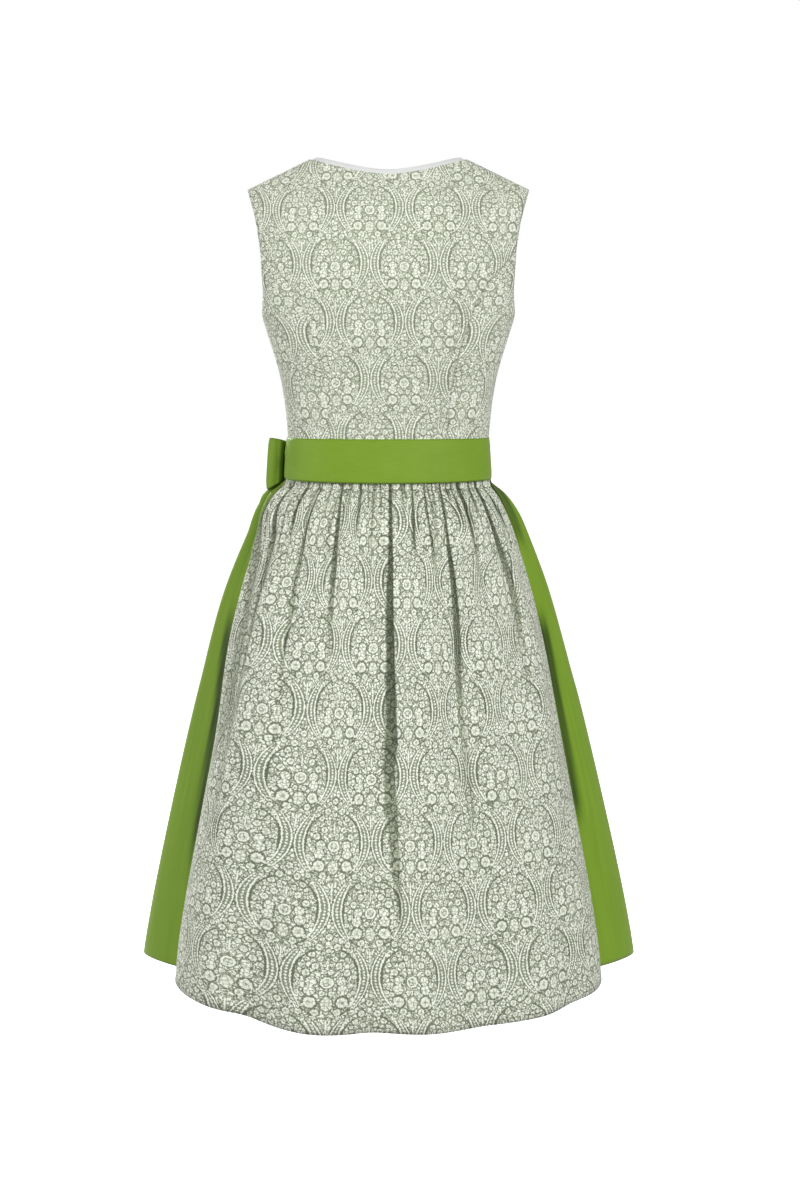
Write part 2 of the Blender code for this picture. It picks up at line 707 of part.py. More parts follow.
def gather_strength(number):
    """Each gather is a little deeper or flatter than the next."""
    return 1 + 0.28 * math.sin(2.4 * number + 1.0) + 0.20 * math.sin(5.1 * number)


def skirt_point(number, gathers, start, end, z):
    """Point of the gathered skirt; number counts the gathers from the start angle."""
    share = number / gathers
    uneven = 0.5 * math.sin(2 * math.pi * 3 * share) + 0.35 * math.sin(2 * math.pi * 7 * share)
    angle = mix(start, end, (number + uneven * GATHER_SPREAD) / gathers)
    base, outward = skirt_section(angle, z)
    gather = along(SKIRT, z, "gather") * gather_strength(number)
    lift = gather * math.cos(2 * math.pi * number)
    lift += hem_waves(angle, z) - fold_depth(SKIRT_FOLDS, angle, z) - tuck(z) * under_apron(angle)
    to_side = math.sin(math.radians(angle)) ** 2
    rise = HEM_SIDE_RISE * to_side * smooth(HEM_RISE_START, SKIRT_HEM_Z, z)
    return base + outward * lift + Vector((0, 0, rise))


def tuck(z):
    return APRON_TUCK * smooth(TUCK_TOP_Z, TUCK_FULL_Z, z)


def under_apron(angle):
    """0 behind the apron's edges and 1 under it."""
    return smooth(TUCK_START_ANGLE, TUCK_END_ANGLE, abs(turn_between(angle, 0)))


def apron_edge_share(angle):
    """0 at the apron's side edges, 1 where it stands off fully."""
    from_back = abs(turn_between(angle, 0))
    reach = (from_back - APRON_EDGE_ANGLE) / (APRON_FULL_ANGLE - APRON_EDGE_ANGLE)
    return math.sin(math.pi / 2 * min(max(reach, 0.0), 1.0)) ** 0.9


def apron_base(angle, z):
    """Point of the apron's plain form, made from the skirt's, and its outward direction."""
    base, outward = skirt_section(angle, z)
    full = along(APRON, z, "stand_off")
    edge = min(full, APRON_EDGE_STAND) - tuck(z)
    to_front = smooth(APRON_FULL_ANGLE, 165, abs(turn_between(angle, 0)))
    full = mix(full, mix(edge, full, APRON_FRONT_SHARE), to_front)
    return base + outward * mix(edge, full, apron_edge_share(angle)), outward


def apron_point(number, z):
    start = APRON_EDGE_ANGLE
    end = 360 - APRON_EDGE_ANGLE
    share = number / APRON_GATHERS
    uneven = 0.5 * math.sin(2 * math.pi * 2 * share) + 0.4 * math.sin(2 * math.pi * 5 * share)
    angle = mix(start, end, (number + uneven * GATHER_SPREAD) / APRON_GATHERS)
    base, outward = apron_base(angle, z)
    gather = along(APRON, z, "gather") * gather_strength(number + 4)
    edge_share = apron_edge_share(angle)
    lift = gather * math.cos(2 * math.pi * number) - fold_depth(APRON_FOLDS, angle, z)
    drop = APRON_EDGE_DROP * (1 - edge_share) * smooth(HEM_RISE_START, APRON_HEM_Z, z)
    return base + outward * lift * mix(APRON_EDGE_GATHER, 1.0, edge_share) - Vector((0, 0, drop))


def make_skirt(name, gathers, columns_each, start, end, material):
    def place(row, column):
        return skirt_point(column / columns_each, gathers, start, end, between(SKIRT_ROWS, row))

    return make_wall(name, place, len(SKIRT_ROWS) - 1, gathers * columns_each, material)


def make_apron_panel(material):
    columns_each = 3

    def place(row, column):
        return apron_point(column / columns_each, between(APRON_ROWS, row))

    return make_wall("apron_panel", place, len(APRON_ROWS) - 1, APRON_GATHERS * columns_each,
                     material)


# ---------------------------------------------------------------- band, tie and bow


def band_point(angle, z, out=0.0):
    """Point of the waistband's middle surface, moved out level by a measure."""
    half = along(BAND, z, "half_width") + out
    turn = math.radians(angle)
    depth = along(BAND, z, "back" if math.cos(turn) > 0 else "front") + out
    return Vector((half * squarish(math.sin(turn), BACK_ROUNDNESS),
                   depth * squarish(math.cos(turn), BACK_ROUNDNESS), z))


def make_waistband(material):
    columns = 44

    def place(row, column):
        angle = mix(APRON_EDGE_ANGLE, 360 - APRON_EDGE_ANGLE, column / columns)
        return band_point(angle, mix(BAND_TOP_Z, BAND_BOTTOM_Z, row))

    return make_wall("apron_waistband", place, 1, columns, material)


def make_tie(material):
    """Tie from the waistband's right end round the back, then over its left end to the bow."""
    columns = 46

    def place(row, column):
        angle = mix(-APRON_EDGE_ANGLE, TIE_END_ANGLE, column / columns)
        width = mix(1.0, TIE_NARROW, smooth(TIE_NARROW_START, TIE_NARROW_END, angle))
        z = mix(BAND_MIDDLE_Z, mix(BAND_TOP_Z, BAND_BOTTOM_Z, row), width)
        return band_point(angle, z, TIE_LIFT * smooth(TIE_LIFT_START, TIE_LIFT_END, angle))

    return make_wall("apron_tie", place, 1, columns, material)


def make_knot(material):
    """Knot of the bow: a rounded pad made from the band's points, moved out."""
    rows = 6
    columns = 6
    back_out = TIE_LIFT + WALL / 2 + SEAM_GAP
    outer = {}
    inner = {}
    for row in range(rows + 1):
        for column in range(columns + 1):
            up = 2 * row / rows - 1
            over = 2 * column / columns - 1
            z = BAND_MIDDLE_Z + up * KNOT_HALF_HEIGHT * (1 - 0.12 * over * over)
            angle = KNOT_ANGLE + over * KNOT_HALF_ANGLE * (1 - 0.10 * up * up)
            dome = (1 - abs(up) ** 2.6) ** 0.5 * (1 - abs(over) ** 2.6) ** 0.5
            inner[row, column] = band_point(angle, z, back_out)
            outer[row, column] = band_point(angle, z, back_out + KNOT_BASE + KNOT_RISE * dome)
    return skin_wall("bow_knot", outer, inner, rows, columns, material)


def make_loop(name, table, material):
    """Loop of the bow: the tie doubled back, standing out from the band."""
    columns_each = 2
    stops = tuple(Stop(index, *loop) for index, loop in enumerate(table))

    def place(row, column):
        index = column / columns_each
        z_top = along(stops, index, "z_top")
        z_bottom = along(stops, index, "z_bottom")
        stand_off = along(stops, index, "stand_off")
        flat = band_point(along(stops, index, "angle"), BAND_MIDDLE_Z, stand_off)
        return Vector((flat.x, flat.y, mix(z_top, z_bottom, row / LOOP_ROWS)))

    return make_wall(name, place, LOOP_ROWS, columns_each * (len(table) - 1), material)


def over_apron(angle, z):
    """Point of the surface that a hanging tail lies on: the band and then the apron."""
    band = band_point(angle, max(z, BAND_BOTTOM_Z))
    if z >= BAND_BOTTOM_Z:
        return band
    base, _ = apron_base(angle, z)
    return base


def make_tail(name, table, material):
    columns = 4
    rows = 11

    def place(row, column):
        z = mix(table[0].z, table[-1].z, row / rows)
        angle = along(table, z, "angle")
        aside = over_apron(angle + 1, z) - over_apron(angle - 1, z)
        over = (column / columns - 0.5) * 2 * along(table, z, "half_width")
        spot = over_apron(angle + 2 * over / aside.length, z)
        _, outward = skirt_section(angle, z)
        grown = smooth(TAIL_RIPPLE_START, TAIL_RIPPLE_FULL, z)
        ripple = TAIL_RIPPLE * math.cos(math.pi * column / 2) * grown
        return spot + outward * (along(table, z, "stand_off") + ripple)

    return make_wall(name, place, rows, columns, material, flip=True)


# ---------------------------------------------------------------- the dress


def build():
    for thing in list(bpy.data.objects):
        bpy.data.objects.remove(thing, do_unlink=True)

    bodice_print = make_material("Printed cotton, bodice", (0.52, 0.56, 0.44), 0.85)
    skirt_print = make_material("Printed cotton, skirt", (0.56, 0.60, 0.48), 0.85)
    apron_cloth = make_material("Green satin cotton", (0.19, 0.33, 0.045), 0.5)
    trim_cloth = make_material("White trim", (0.85, 0.86, 0.82), 0.8)
    button_stuff = make_material("Pale horn buttons", (0.70, 0.66, 0.55), 0.4)

    make_back_centre(bodice_print)
    for hand, hand_name in ((1, "left"), (-1, "right")):
        make_side(f"side_back_{hand_name}", hand, 1, bodice_print)
        make_side(f"side_front_{hand_name}", hand, -1, bodice_print)
    make_front("front_left", 1, LEFT_LAP, LAP_SINK, bodice_print)
    make_front("front_right", -1, RIGHT_LAP, 0.0, bodice_print)
    make_neck_trim(trim_cloth)
    make_buttons(button_stuff)

    make_skirt("skirt_back", BACK_GATHERS, 4, -90, 90, skirt_print)
    make_skirt("skirt_front", FRONT_GATHERS, 3, 90, 270, skirt_print)
    make_apron_panel(apron_cloth)
    make_waistband(apron_cloth)
    make_tie(apron_cloth)
    make_knot(apron_cloth)
    make_loop("bow_loop_side", LOOP_SIDE, apron_cloth)
    make_loop("bow_loop_front", LOOP_FRONT, apron_cloth)
    make_tail("bow_tail_side", TAIL_SIDE, apron_cloth)
    make_tail("bow_tail_front", TAIL_FRONT, apron_cloth)


build()
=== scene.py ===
# %% [markdown]
# # A dirndl dress with its apron tied at the side
#
# The dress is a fitted bodice sewn to a gathered skirt, both in one printed cotton, with a
# green apron whose tie runs round the waist to a bow. Its solids come ready made, as plain
# walls of cloth. This notebook lays a thin, fine cloth on each of them, with the folds that
# cloth takes when it is gathered, and then gives it a print, a weave and a soft light.
#
# Everything is in metres. The wearer faces -Y, their left is +X, and +Z is up.

# %% Load the solids
import math
from bisect import bisect_right
from collections import namedtuple

import bmesh
import bpy
from mathutils import Matrix, Vector


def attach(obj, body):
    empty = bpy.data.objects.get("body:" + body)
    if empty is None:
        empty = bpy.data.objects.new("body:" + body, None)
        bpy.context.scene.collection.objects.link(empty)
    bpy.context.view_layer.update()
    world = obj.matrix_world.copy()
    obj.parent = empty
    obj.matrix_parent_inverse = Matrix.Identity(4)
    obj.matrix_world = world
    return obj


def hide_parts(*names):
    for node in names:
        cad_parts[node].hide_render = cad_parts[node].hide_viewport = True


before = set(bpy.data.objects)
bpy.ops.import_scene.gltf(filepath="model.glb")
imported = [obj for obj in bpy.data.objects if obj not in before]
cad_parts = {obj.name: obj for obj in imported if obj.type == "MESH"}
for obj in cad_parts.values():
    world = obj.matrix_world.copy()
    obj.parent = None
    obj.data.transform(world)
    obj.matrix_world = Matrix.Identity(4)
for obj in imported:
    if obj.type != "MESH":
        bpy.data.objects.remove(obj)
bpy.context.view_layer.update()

# %% [markdown]
# ## Camera, light and floor
#
# A long lens from a few metres keeps the skirt from looking swollen.

# %% Camera
CAMERA_PITCH = 5.5       # degrees that the lens looks down by

camera_data = bpy.data.cameras.new("camera")
camera_data.lens = 74.12
camera_data.sensor_width = 36.0
camera = bpy.data.objects.new("camera", camera_data)
camera.location = (-0.0155, 3.3, -0.264)
camera.rotation_euler = (math.radians(90.0 - CAMERA_PITCH), 0.0, math.pi)
bpy.context.scene.collection.objects.link(camera)
bpy.context.scene.camera = camera
print("camera looks down by", CAMERA_PITCH, "degrees from", tuple(camera.location))

# %% [markdown]
# The light is that of a small studio: a white room that lights every side a little, a large
# soft lamp from the upper right that gives the folds a lit side and a shaded side, and a
# weaker one far to the left that lights the other flank and can't reach into the folds. A
# third one lights the front.

# %% Lamps and the white room
FLOOR_Z = -1.45
DRESS_MIDDLE = Vector((0.0, 0.0, -0.5))
ROOM_LIGHT, ROOM_SEEN = 0.37, 1.0    # the room's strength on the dress and to the camera


def add_lamp(name, place, size, watts):
    """A round soft lamp that looks at the middle of the dress."""
    lamp = bpy.data.lights.new(name, "AREA")
    lamp.shape = "DISK"
    lamp.size = size
    lamp.energy = watts
    holder = bpy.data.objects.new(name, lamp)
    holder.location = place
    holder.rotation_euler = (DRESS_MIDDLE - Vector(place)).to_track_quat("-Z", "Y").to_euler()
    bpy.context.scene.collection.objects.link(holder)


add_lamp("key_lamp", (-1.8, 3.3, 0.8), 1.3, 94.0)
add_lamp("flank_lamp", (3.4, 1.2, 0.4), 0.9, 52.0)
add_lamp("front_lamp", (1.6, -3.2, 0.8), 1.0, 85.0)

world = bpy.data.worlds.new("white_room")
bpy.context.scene.world = world
world.use_nodes = True
room = world.node_tree
for node in list(room.nodes):
    room.nodes.remove(node)
straight = room.nodes.new("ShaderNodeLightPath")
either = room.nodes.new("ShaderNodeMixShader")
room.links.new(straight.outputs["Is Camera Ray"], either.inputs["Fac"])
for socket, strength in ((1, ROOM_LIGHT), (2, ROOM_SEEN)):
    white = room.nodes.new("ShaderNodeBackground")
    white.inputs["Color"].default_value = (1.0, 1.0, 1.0, 1.0)
    white.inputs["Strength"].default_value = strength
    room.links.new(white.outputs[0], either.inputs[socket])
room_end = room.nodes.new("ShaderNodeOutputWorld")
room.links.new(either.outputs[0], room_end.inputs["Surface"])
bpy.context.scene.view_settings.view_transform = "Standard"
print("lamps:", [o.name for o in bpy.data.objects if o.type == "LIGHT"])

# %% [markdown]
# ## Shader maths in plain expressions
#
# A pattern such as a print is arithmetic on a place in the cloth. Wiring its nodes by hand
# takes pages, so a small class wraps an output socket: adding or multiplying two of them
# adds the Math node. Everything else goes through one method, `node`.

# %% A field and a finish
class Field:
    """A number or vector that varies over a surface."""

    def __init__(self, finish, socket):
        self.finish = finish
        self.socket = socket

    def maths(self, operation, *others):
        values = dict(enumerate((self,) + others))
        return self.finish.node("ShaderNodeMath", {"operation": operation}, values)

    def flipped(self, operation, other):
        return self.finish.node("ShaderNodeMath", {"operation": operation}, {0: other, 1: self})

    def __add__(self, other):
        return self.maths("ADD", other)

    def __sub__(self, other):
        return self.maths("SUBTRACT", other)

    def __rsub__(self, other):
        return self.flipped("SUBTRACT", other)

    def __mul__(self, other):
        return self.maths("MULTIPLY", other)

    def __truediv__(self, other):
        return self.maths("DIVIDE", other)

    __radd__ = __add__
    __rmul__ = __mul__

    def rise(self, start, end, low=0.0, high=1.0):
        """0 up to start, 1 from end on, and a soft step between."""
        return self.finish.node("ShaderNodeMapRange", {"interpolation_type": "SMOOTHSTEP"},
                                {"Value": self, "From Min": start, "From Max": end,
                                 "To Min": low, "To Max": high})

    def fall(self, start, end):
        """1 up to start, 0 from end on."""
        return self.rise(start, end, 1.0, 0.0)


class Finish:
    """A material on its way, with its Principled shader."""

    def __init__(self, name, roughness, sheen=0.0, specular=0.3):
        self.material = bpy.data.materials.new(name)
        self.material.use_nodes = True
        self.tree = self.material.node_tree
        self.shader = self.tree.nodes["Principled BSDF"]
        self.shader.inputs["Roughness"].default_value = roughness
        self.shader.inputs["Sheen Weight"].default_value = sheen
        self.shader.inputs["Sheen Roughness"].default_value = 0.5
        self.shader.inputs["Specular IOR Level"].default_value = specular

    def node(self, kind, settings=None, values=None, output=0):
        """A new node's output: its settings go first, then its sockets' values or links."""
        made = self.tree.nodes.new(kind)
        for key, value in (settings or {}).items():
            if key == "stops":
                ramp = made.color_ramp.elements
                while len(ramp) < len(value):
                    ramp.new(1.0)
                for element, (place, colour) in zip(ramp, value):
                    element.position = place
                    element.color = colour
            else:
                setattr(made, key, value)
        for key, value in (values or {}).items():
            if isinstance(value, Field):
                self.tree.links.new(value.socket, made.inputs[key])
            else:
                made.inputs[key].default_value = value
        return Field(self, made.outputs[output])

    def blend(self, share, low, high):
        """A number between two others."""
        return self.node("ShaderNodeMix", {"data_type": "FLOAT"},
                         {"Factor": share, "A": low, "B": high})

    def uv(self, name):
        return self.node("ShaderNodeUVMap", {"uv_map": name})

    def split(self, vector, axis):
        """One of a vector's three numbers."""
        return self.node("ShaderNodeSeparateXYZ", None, {0: vector}, output=axis)

    def noise(self, place, scale, detail, **more):
        return self.node("ShaderNodeTexNoise", None,
                         {"Vector": place, "Scale": scale, "Detail": detail, **more})

    def read(self, field, stops):
        """A colour read off a ramp of (place, colour) stops."""
        return self.node("ShaderNodeValToRGB", {"stops": stops}, {"Fac": field})

    def set(self, name, field):
        self.tree.links.new(field.socket, self.shader.inputs[name])

    def bump(self, height, depth):
        """Relief: a height from 0 to 1 stands for this many metres."""
        self.set("Normal", self.node("ShaderNodeBump", None,
                                     {"Height": height, "Distance": depth, "Strength": 1.0}))


def tint(red, green, blue):
    """A colour as a screen shows it, turned into the linear values that a shader takes."""
    linear = [(v / 255 / 12.92) if v <= 10 else ((v / 255 + 0.055) / 1.055) ** 2.4
              for v in (red, green, blue)]
    return (*linear, 1.0)


print("cream is", [round(v, 3) for v in tint(232, 238, 215)[:3]])

# %% [markdown]
# ## The floor
#
# A pale matt floor lies where the wearer's feet would be. A studio floor is lit until it is
# as white as the wall behind it, so the disc glows by itself, but it sends no light up to
# the cloth, which would fill the folds from below.

# %% Floor
floor_finish = Finish("pale floor", 0.9)
floor_spots = floor_finish.node("ShaderNodeTexNoise", None, {"Scale": 3.0, "Detail": 3.0})
floor_finish.set("Base Color", floor_finish.read(
    floor_spots, [(0.3, tint(243, 243, 241)), (0.7, tint(248, 248, 247))]))
floor_finish.shader.inputs["Emission Color"].default_value = (1.0, 1.0, 1.0, 1.0)
floor_finish.shader.inputs["Emission Strength"].default_value = 0.85
floor_mesh = bmesh.new()
bmesh.ops.create_circle(floor_mesh, cap_ends=True, segments=96, radius=30.0)
bmesh.ops.translate(floor_mesh, verts=floor_mesh.verts, vec=(0.0, 0.0, FLOOR_Z))
floor_data = bpy.data.meshes.new("floor")
floor_mesh.to_mesh(floor_data)
floor_mesh.free()
floor_data.materials.append(floor_finish.material)
floor = bpy.data.objects.new("floor", floor_data)
bpy.context.scene.collection.objects.link(floor)
floor.visible_diffuse = False
print("floor at", FLOOR_Z)

# %% [markdown]
# ## The printed cotton
#
# The print is a traditional ogee lattice: rows of medallions, each row shifted by half a
# medallion. Every medallion has a curved guard band on either side, two pale lines with
# beads between them, and is filled with small ringed flowers round a rosette. It is symmetric
# left to right, so only one half of it is charted below, in millimetres from its middle.
#
# Each motif is a distance in the cloth's own flat coordinates, so it stays sharp at any
# size. Each piece's UV map `cloth` is its cut laid flat, in metres, with a medallion's
# middle at (0, 0).

# %% Chart of the print
MEDALLION_WIDTH = 90.0   # from one medallion's middle to the next in a row, in millimetres
ROW_STEP = 75.5          # from one row up to the next


def table_of(kind, rows):
    """A table whose rows are all of one named kind."""
    return tuple(kind(*row) for row in rows)


Ring = namedtuple("Ring", "x y radius")
RINGED_FLOWERS = table_of(Ring, (
    (20.0, 10.5, 3.9), (11.4, 18.5, 3.7), (15.2, 31.2, 3.5), (6.8, 26.6, 2.9),
    (4.5, -11.7, 2.9), (15.3, -22.0, 6.0), (10.4, -33.0, 4.0), (28.2, 5.6, 2.7),
    (27.2, -12.0, 2.6), (25.4, -33.8, 3.2), (36.4, -36.2, 3.8), (22.6, -14.4, 2.4),
    (25.2, 18.4, 2.5), (19.4, 25.4, 2.3), (33.0, 36.6, 3.0), (45.0, -24.6, 3.6),
    (18.4, -33.6, 2.4), (0.0, 35.6, 2.6), (38.6, -27.6, 2.4), (29.0, -4.2, 2.2),
    (21.6, -25.6, 1.9), (3.6, 19.4, 1.9),
))
FULL_FLOWERS = table_of(Ring, (
    (14.6, 1.4, 4.9), (15.6, -8.6, 5.4), (23.6, -3.6, 3.2), (3.4, 12.2, 2.6), (26.0, 12.4, 2.2),
    (45.0, -32.8, 3.0), (9.4, -15.0, 2.4), (44.2, 9.0, 1.6),
))
Leaf = namedtuple("Leaf", "x y angle half_length half_width")
LEAVES = table_of(Leaf, (
    (0.0, 19.5, 90, 8.5, 0.9), (9.0, 9.6, 40, 3.9, 1.4), (5.6, 19.6, 66, 4.4, 1.3),
    (8.0, -19.4, -48, 3.2, 1.2), (45.0, 27.0, 90, 9.0, 1.1), (41.8, 32.4, 112, 3.6, 1.3),
    (45.0, 15.0, 90, 4.6, 0.9), (32.0, -30.2, -38, 3.8, 1.2), (30.6, 30.6, 50, 3.2, 1.2),
    (5.0, -36.6, -24, 3.6, 1.2), (37.4, 29.0, 66, 3.4, 1.0), (42.0, -31.0, -60, 3.4, 1.0),
    (13.4, 25.0, 20, 2.6, 1.0), (24.0, 33.8, 34, 3.0, 1.2),
))
BUD = Leaf(0.0, -23.4, 90, 7.6, 5.4)
GUARD_INNER, INNER_BEND = 34.4, 56.5   # half width and bend of the guard band's inner line
GUARD_OUTER, OUTER_BEND = 43.4, 55.5   # and of its outer line
GUARD_LIFT = 4.4                       # the band is widest this far above the row's middle
GUARD_TOP, GUARD_FOOT = 33.0, -29.0    # the band reaches from here to here
OVAL, OVAL_BEND = 31.9, 42.0           # the dark contour inside it, which closes at the foot
OVAL_POWER, OVAL_END = 3.4, 37.0
SLANT_X, SLANT = 26.0, 0.6             # the band's ends are cut aslant about this place
BAND_PALENESS, BEAD_PALENESS, LINE_PALENESS = 0.14, 0.88, 0.94
BEAD_STEP = 3.5
SPECK_SIZE = 4.3         # size of the fine filling between the motifs
RAGGED = 3.4             # how far the full swing of the noise shifts the chart
print(len(RINGED_FLOWERS), "ringed flowers,", len(LEAVES), "leaves in half a medallion")

# %% [markdown]
# The chart becomes a field called `paleness`: 0 is the darkest sage, 1 is the cream of the
# unprinted cloth. The nearest motif wins, so all the ringed flowers share one radial profile,
# read from the smallest of their distances, and so do all the leaves. A motif that crosses
# into the next row is repeated there, half a medallion along.

# %% Distances to the motifs
def with_crossings(motifs, reach):
    """The motifs and, for each one that crosses a row's edge, its twin in the next row."""
    whole = list(motifs)
    for motif in motifs:
        if abs(motif.y) + getattr(motif, reach) * 1.3 > ROW_STEP / 2:
            whole.append(motif._replace(x=MEDALLION_WIDTH / 2 - motif.x,
                                        y=motif.y - math.copysign(ROW_STEP, motif.y)))
    return whole


def nearest(finish, place, motifs):
    """Distance to the nearest round motif, in its own radii."""
    closest = None
    for motif in with_crossings(motifs, "radius"):
        away = finish.node("ShaderNodeVectorMath", {"operation": "DISTANCE"},
                           {0: place, 1: (motif.x, motif.y, 0.0)}, output="Value")
        away = away * (1.0 / motif.radius)
        closest = away if closest is None else closest.maths("MINIMUM", away)
    return closest


def nearest_leaf(finish, place, leaves):
    closest = None
    for leaf in leaves:
        turned = finish.node(
            "ShaderNodeMapping", {"vector_type": "TEXTURE"},
            {"Vector": place, "Location": (leaf.x, leaf.y, 0.0),
             "Rotation": (0.0, 0.0, math.radians(leaf.angle)),
             "Scale": (leaf.half_length, leaf.half_width, 1.0)})
        away = finish.node("ShaderNodeVectorMath", {"operation": "LENGTH"}, {0: turned},
                           output="Value")
        closest = away if closest is None else closest.maths("MINIMUM", away)
    return closest


def steps_of(finish, field, stops):
    """A number read off a list of (place, value) stops, for a field from 0 to 2."""
    return finish.read(field * 0.5, [(place / 2, (value, value, value, 1.0))
                                     for place, value in stops])


print(len(with_crossings(RINGED_FLOWERS, "radius")), "ringed flowers with those that cross")

# %% [markdown]
# The printer's edges are a little ragged, as the colour creeps along the threads, so the
# chart is read at a place that a fine noise has shifted by up to half a millimetre. Between
# the motifs the ground is filled with small blots, which are the cells of a Voronoi texture.

# %% Paleness of the print
def chart_place(u, v):
    """Place in half a medallion, x across from its middle and y up, in millimetres."""
    row = (v * (1.0 / ROW_STEP) + 0.5).maths("FLOOR")
    odd = row.maths("FLOORED_MODULO", 2.0)
    half = MEDALLION_WIDTH / 2
    x = (u + odd * half).maths("WRAP", half, -half).maths("ABSOLUTE")
    return x, v - row * ROW_STEP


def guard_band(finish, x, y, paleness):
    """Draws the curved band, its beads and the dark contour round the medallion."""
    height = y.maths("ABSOLUTE")
    lifted = (y - GUARD_LIFT).maths("ABSOLUTE")
    inner = x - (1.0 - (lifted / INNER_BEND).maths("POWER", 2.0)) * GUARD_INNER
    outer = x - (1.0 - (lifted / OUTER_BEND).maths("POWER", 2.0)) * GUARD_OUTER
    oval = x - (1.0 - (height / OVAL_BEND).maths("POWER", OVAL_POWER)) * OVAL
    slant = (x - SLANT_X) * SLANT
    reach = ((y - slant).fall(GUARD_TOP - 1.0, GUARD_TOP + 1.0)
             * (y + slant).rise(GUARD_FOOT - 1.0, GUARD_FOOT + 1.0))

    contour = oval.maths("ABSOLUTE").fall(0.8, 1.7) * height.fall(OVAL_END - 1.0, OVAL_END + 1.0)
    paleness = finish.blend(contour, paleness, 0.0)
    rim = outer.maths("ABSOLUTE").fall(1.8, 2.6) * reach
    paleness = finish.blend(rim, paleness, 0.0)
    between_lines = inner.rise(-0.8, -0.4) * outer.fall(0.4, 0.8) * reach
    bead_x = (inner + outer) * 0.5
    bead_y = y.maths("WRAP", BEAD_STEP / 2, -BEAD_STEP / 2)
    bead = (bead_x * bead_x + bead_y * bead_y).maths("SQRT")
    beaded = finish.blend(bead.fall(0.9, 1.6), BAND_PALENESS, BEAD_PALENESS)
    paleness = finish.blend(between_lines, paleness, beaded)
    for line in (inner, outer):
        drawn = line.maths("ABSOLUTE").fall(0.60, 1.10) * reach
        paleness = finish.blend(drawn, paleness, LINE_PALENESS)
    return paleness


def cloth_place(finish):
    """The cloth's flat coordinates as a vector, and both of them in millimetres."""
    uv = finish.uv("cloth")
    return uv, finish.split(uv, "X") * 1000.0, finish.split(uv, "Y") * 1000.0


def flat_vector(finish, x, y):
    return finish.node("ShaderNodeCombineXYZ", None, {"X": x, "Y": y, "Z": 0.0})


def filling(finish, ragged, u, v):
    """Paleness of the fine blots between the motifs, and the shape of a single blot."""
    ground = finish.node("ShaderNodeVectorMath", {"operation": "MULTIPLY_ADD"},
                         {0: ragged, 1: (RAGGED, RAGGED, 0.0), 2: flat_vector(finish, u, v)})
    blots = {"Vector": ground, "Scale": 1.0 / SPECK_SIZE, "Randomness": 0.9}
    edges = finish.node("ShaderNodeTexVoronoi",
                        {"feature": "DISTANCE_TO_EDGE", "voronoi_dimensions": "2D"}, blots)
    chance = finish.node("ShaderNodeTexVoronoi", {"feature": "F1", "voronoi_dimensions": "2D"},
                         blots, output="Color")
    petal = edges.rise(0.03, 0.19)
    return finish.blend(petal, 0.0, 0.42 + finish.split(chance, "X") * 0.68), petal


def print_paleness(finish):
    """The whole print, motif over motif, and the place in the cloth in millimetres."""
    uv, u, v = cloth_place(finish)
    ragged = finish.node("ShaderNodeTexNoise", {"noise_dimensions": "2D"},
                         {"Vector": uv, "Scale": 520.0, "Detail": 2.0}, output="Color")
    x, y = chart_place(u, v)
    x = x + (finish.split(ragged, "X") - 0.5) * RAGGED
    y = y + (finish.split(ragged, "Y") - 0.5) * RAGGED
    place = flat_vector(finish, x, y)
    paleness, petal = filling(finish, ragged, u, v)

    leaf = nearest_leaf(finish, place, with_crossings(LEAVES, "half_length"))
    leaf_shade = steps_of(finish, leaf, [(0.0, 0.86), (0.8, 0.86), (1.1, 0.06), (1.5, 0.14)])
    paleness = finish.blend(leaf.fall(1.25, 1.5), paleness, leaf_shade)

    bud = nearest_leaf(finish, place, [BUD])
    bud_shade = steps_of(finish, bud, [(0.0, 0.70), (0.9, 0.90), (1.1, 0.04), (1.2, 0.1)])
    bud_shade = bud_shade * (petal * 0.55 + 0.42)
    paleness = finish.blend(bud.fall(1.12, 1.25), paleness, bud_shade)

    full = nearest(finish, place, FULL_FLOWERS)
    full_shade = finish.blend(full.rise(0.96, 1.10), petal * 0.70 + 0.28, 0.0)
    paleness = finish.blend(full.fall(1.18, 1.36), paleness, full_shade)

    ring = nearest(finish, place, RINGED_FLOWERS)
    ring_shade = steps_of(finish, ring, [(0.0, 0.18), (0.12, 0.24), (0.28, 0.70), (0.46, 0.66),
                                         (0.66, 1.0), (0.86, 1.0), (1.06, 0.0), (1.22, 0.04)])
    ring_shade = ring_shade * (petal * 0.50 + 0.56)
    paleness = finish.blend(ring.fall(1.20, 1.38), paleness, ring_shade)

    rosette = nearest(finish, place, [Ring(0.0, 0.3, 6.2)])
    hub = petal * 0.6 + 0.14
    rosette_shade = steps_of(finish, rosette, [(0.0, 0.2), (0.66, 0.2), (0.74, 0.98),
                                               (0.94, 0.98), (1.08, 0.02), (1.24, 0.06)])
    rosette_shade = finish.blend(rosette.fall(0.58, 0.70), rosette_shade, hub)
    paleness = finish.blend(rosette.fall(1.16, 1.30), paleness, rosette_shade)
    return guard_band(finish, x, y, paleness), u, v


def edge_distances(finish):
    """How far a place is from its piece's nearest side edge and end edge, in metres."""
    edges = finish.uv("edges")
    return finish.split(edges, "X"), finish.split(edges, "Y")


def painted_shade(finish):
    """Painted shade, read from the UV map `folds`: 0 out in the open, 1 on the floor of a closed
    fold.
    """
    return finish.split(finish.uv("folds"), "X")


print("a medallion repeats every", MEDALLION_WIDTH, "by", 2 * ROW_STEP, "mm")

# %% [markdown]
# ## Three cloths
#
# The printed cotton is matt, with a plain weave of about two threads a millimetre. The
# apron's cotton is woven as satin, so it is smoother and shines softly. The trim is white.
# Each weave is a very small relief, and each cloth's edge is pressed a little flatter
# within a few millimetres of a seam.

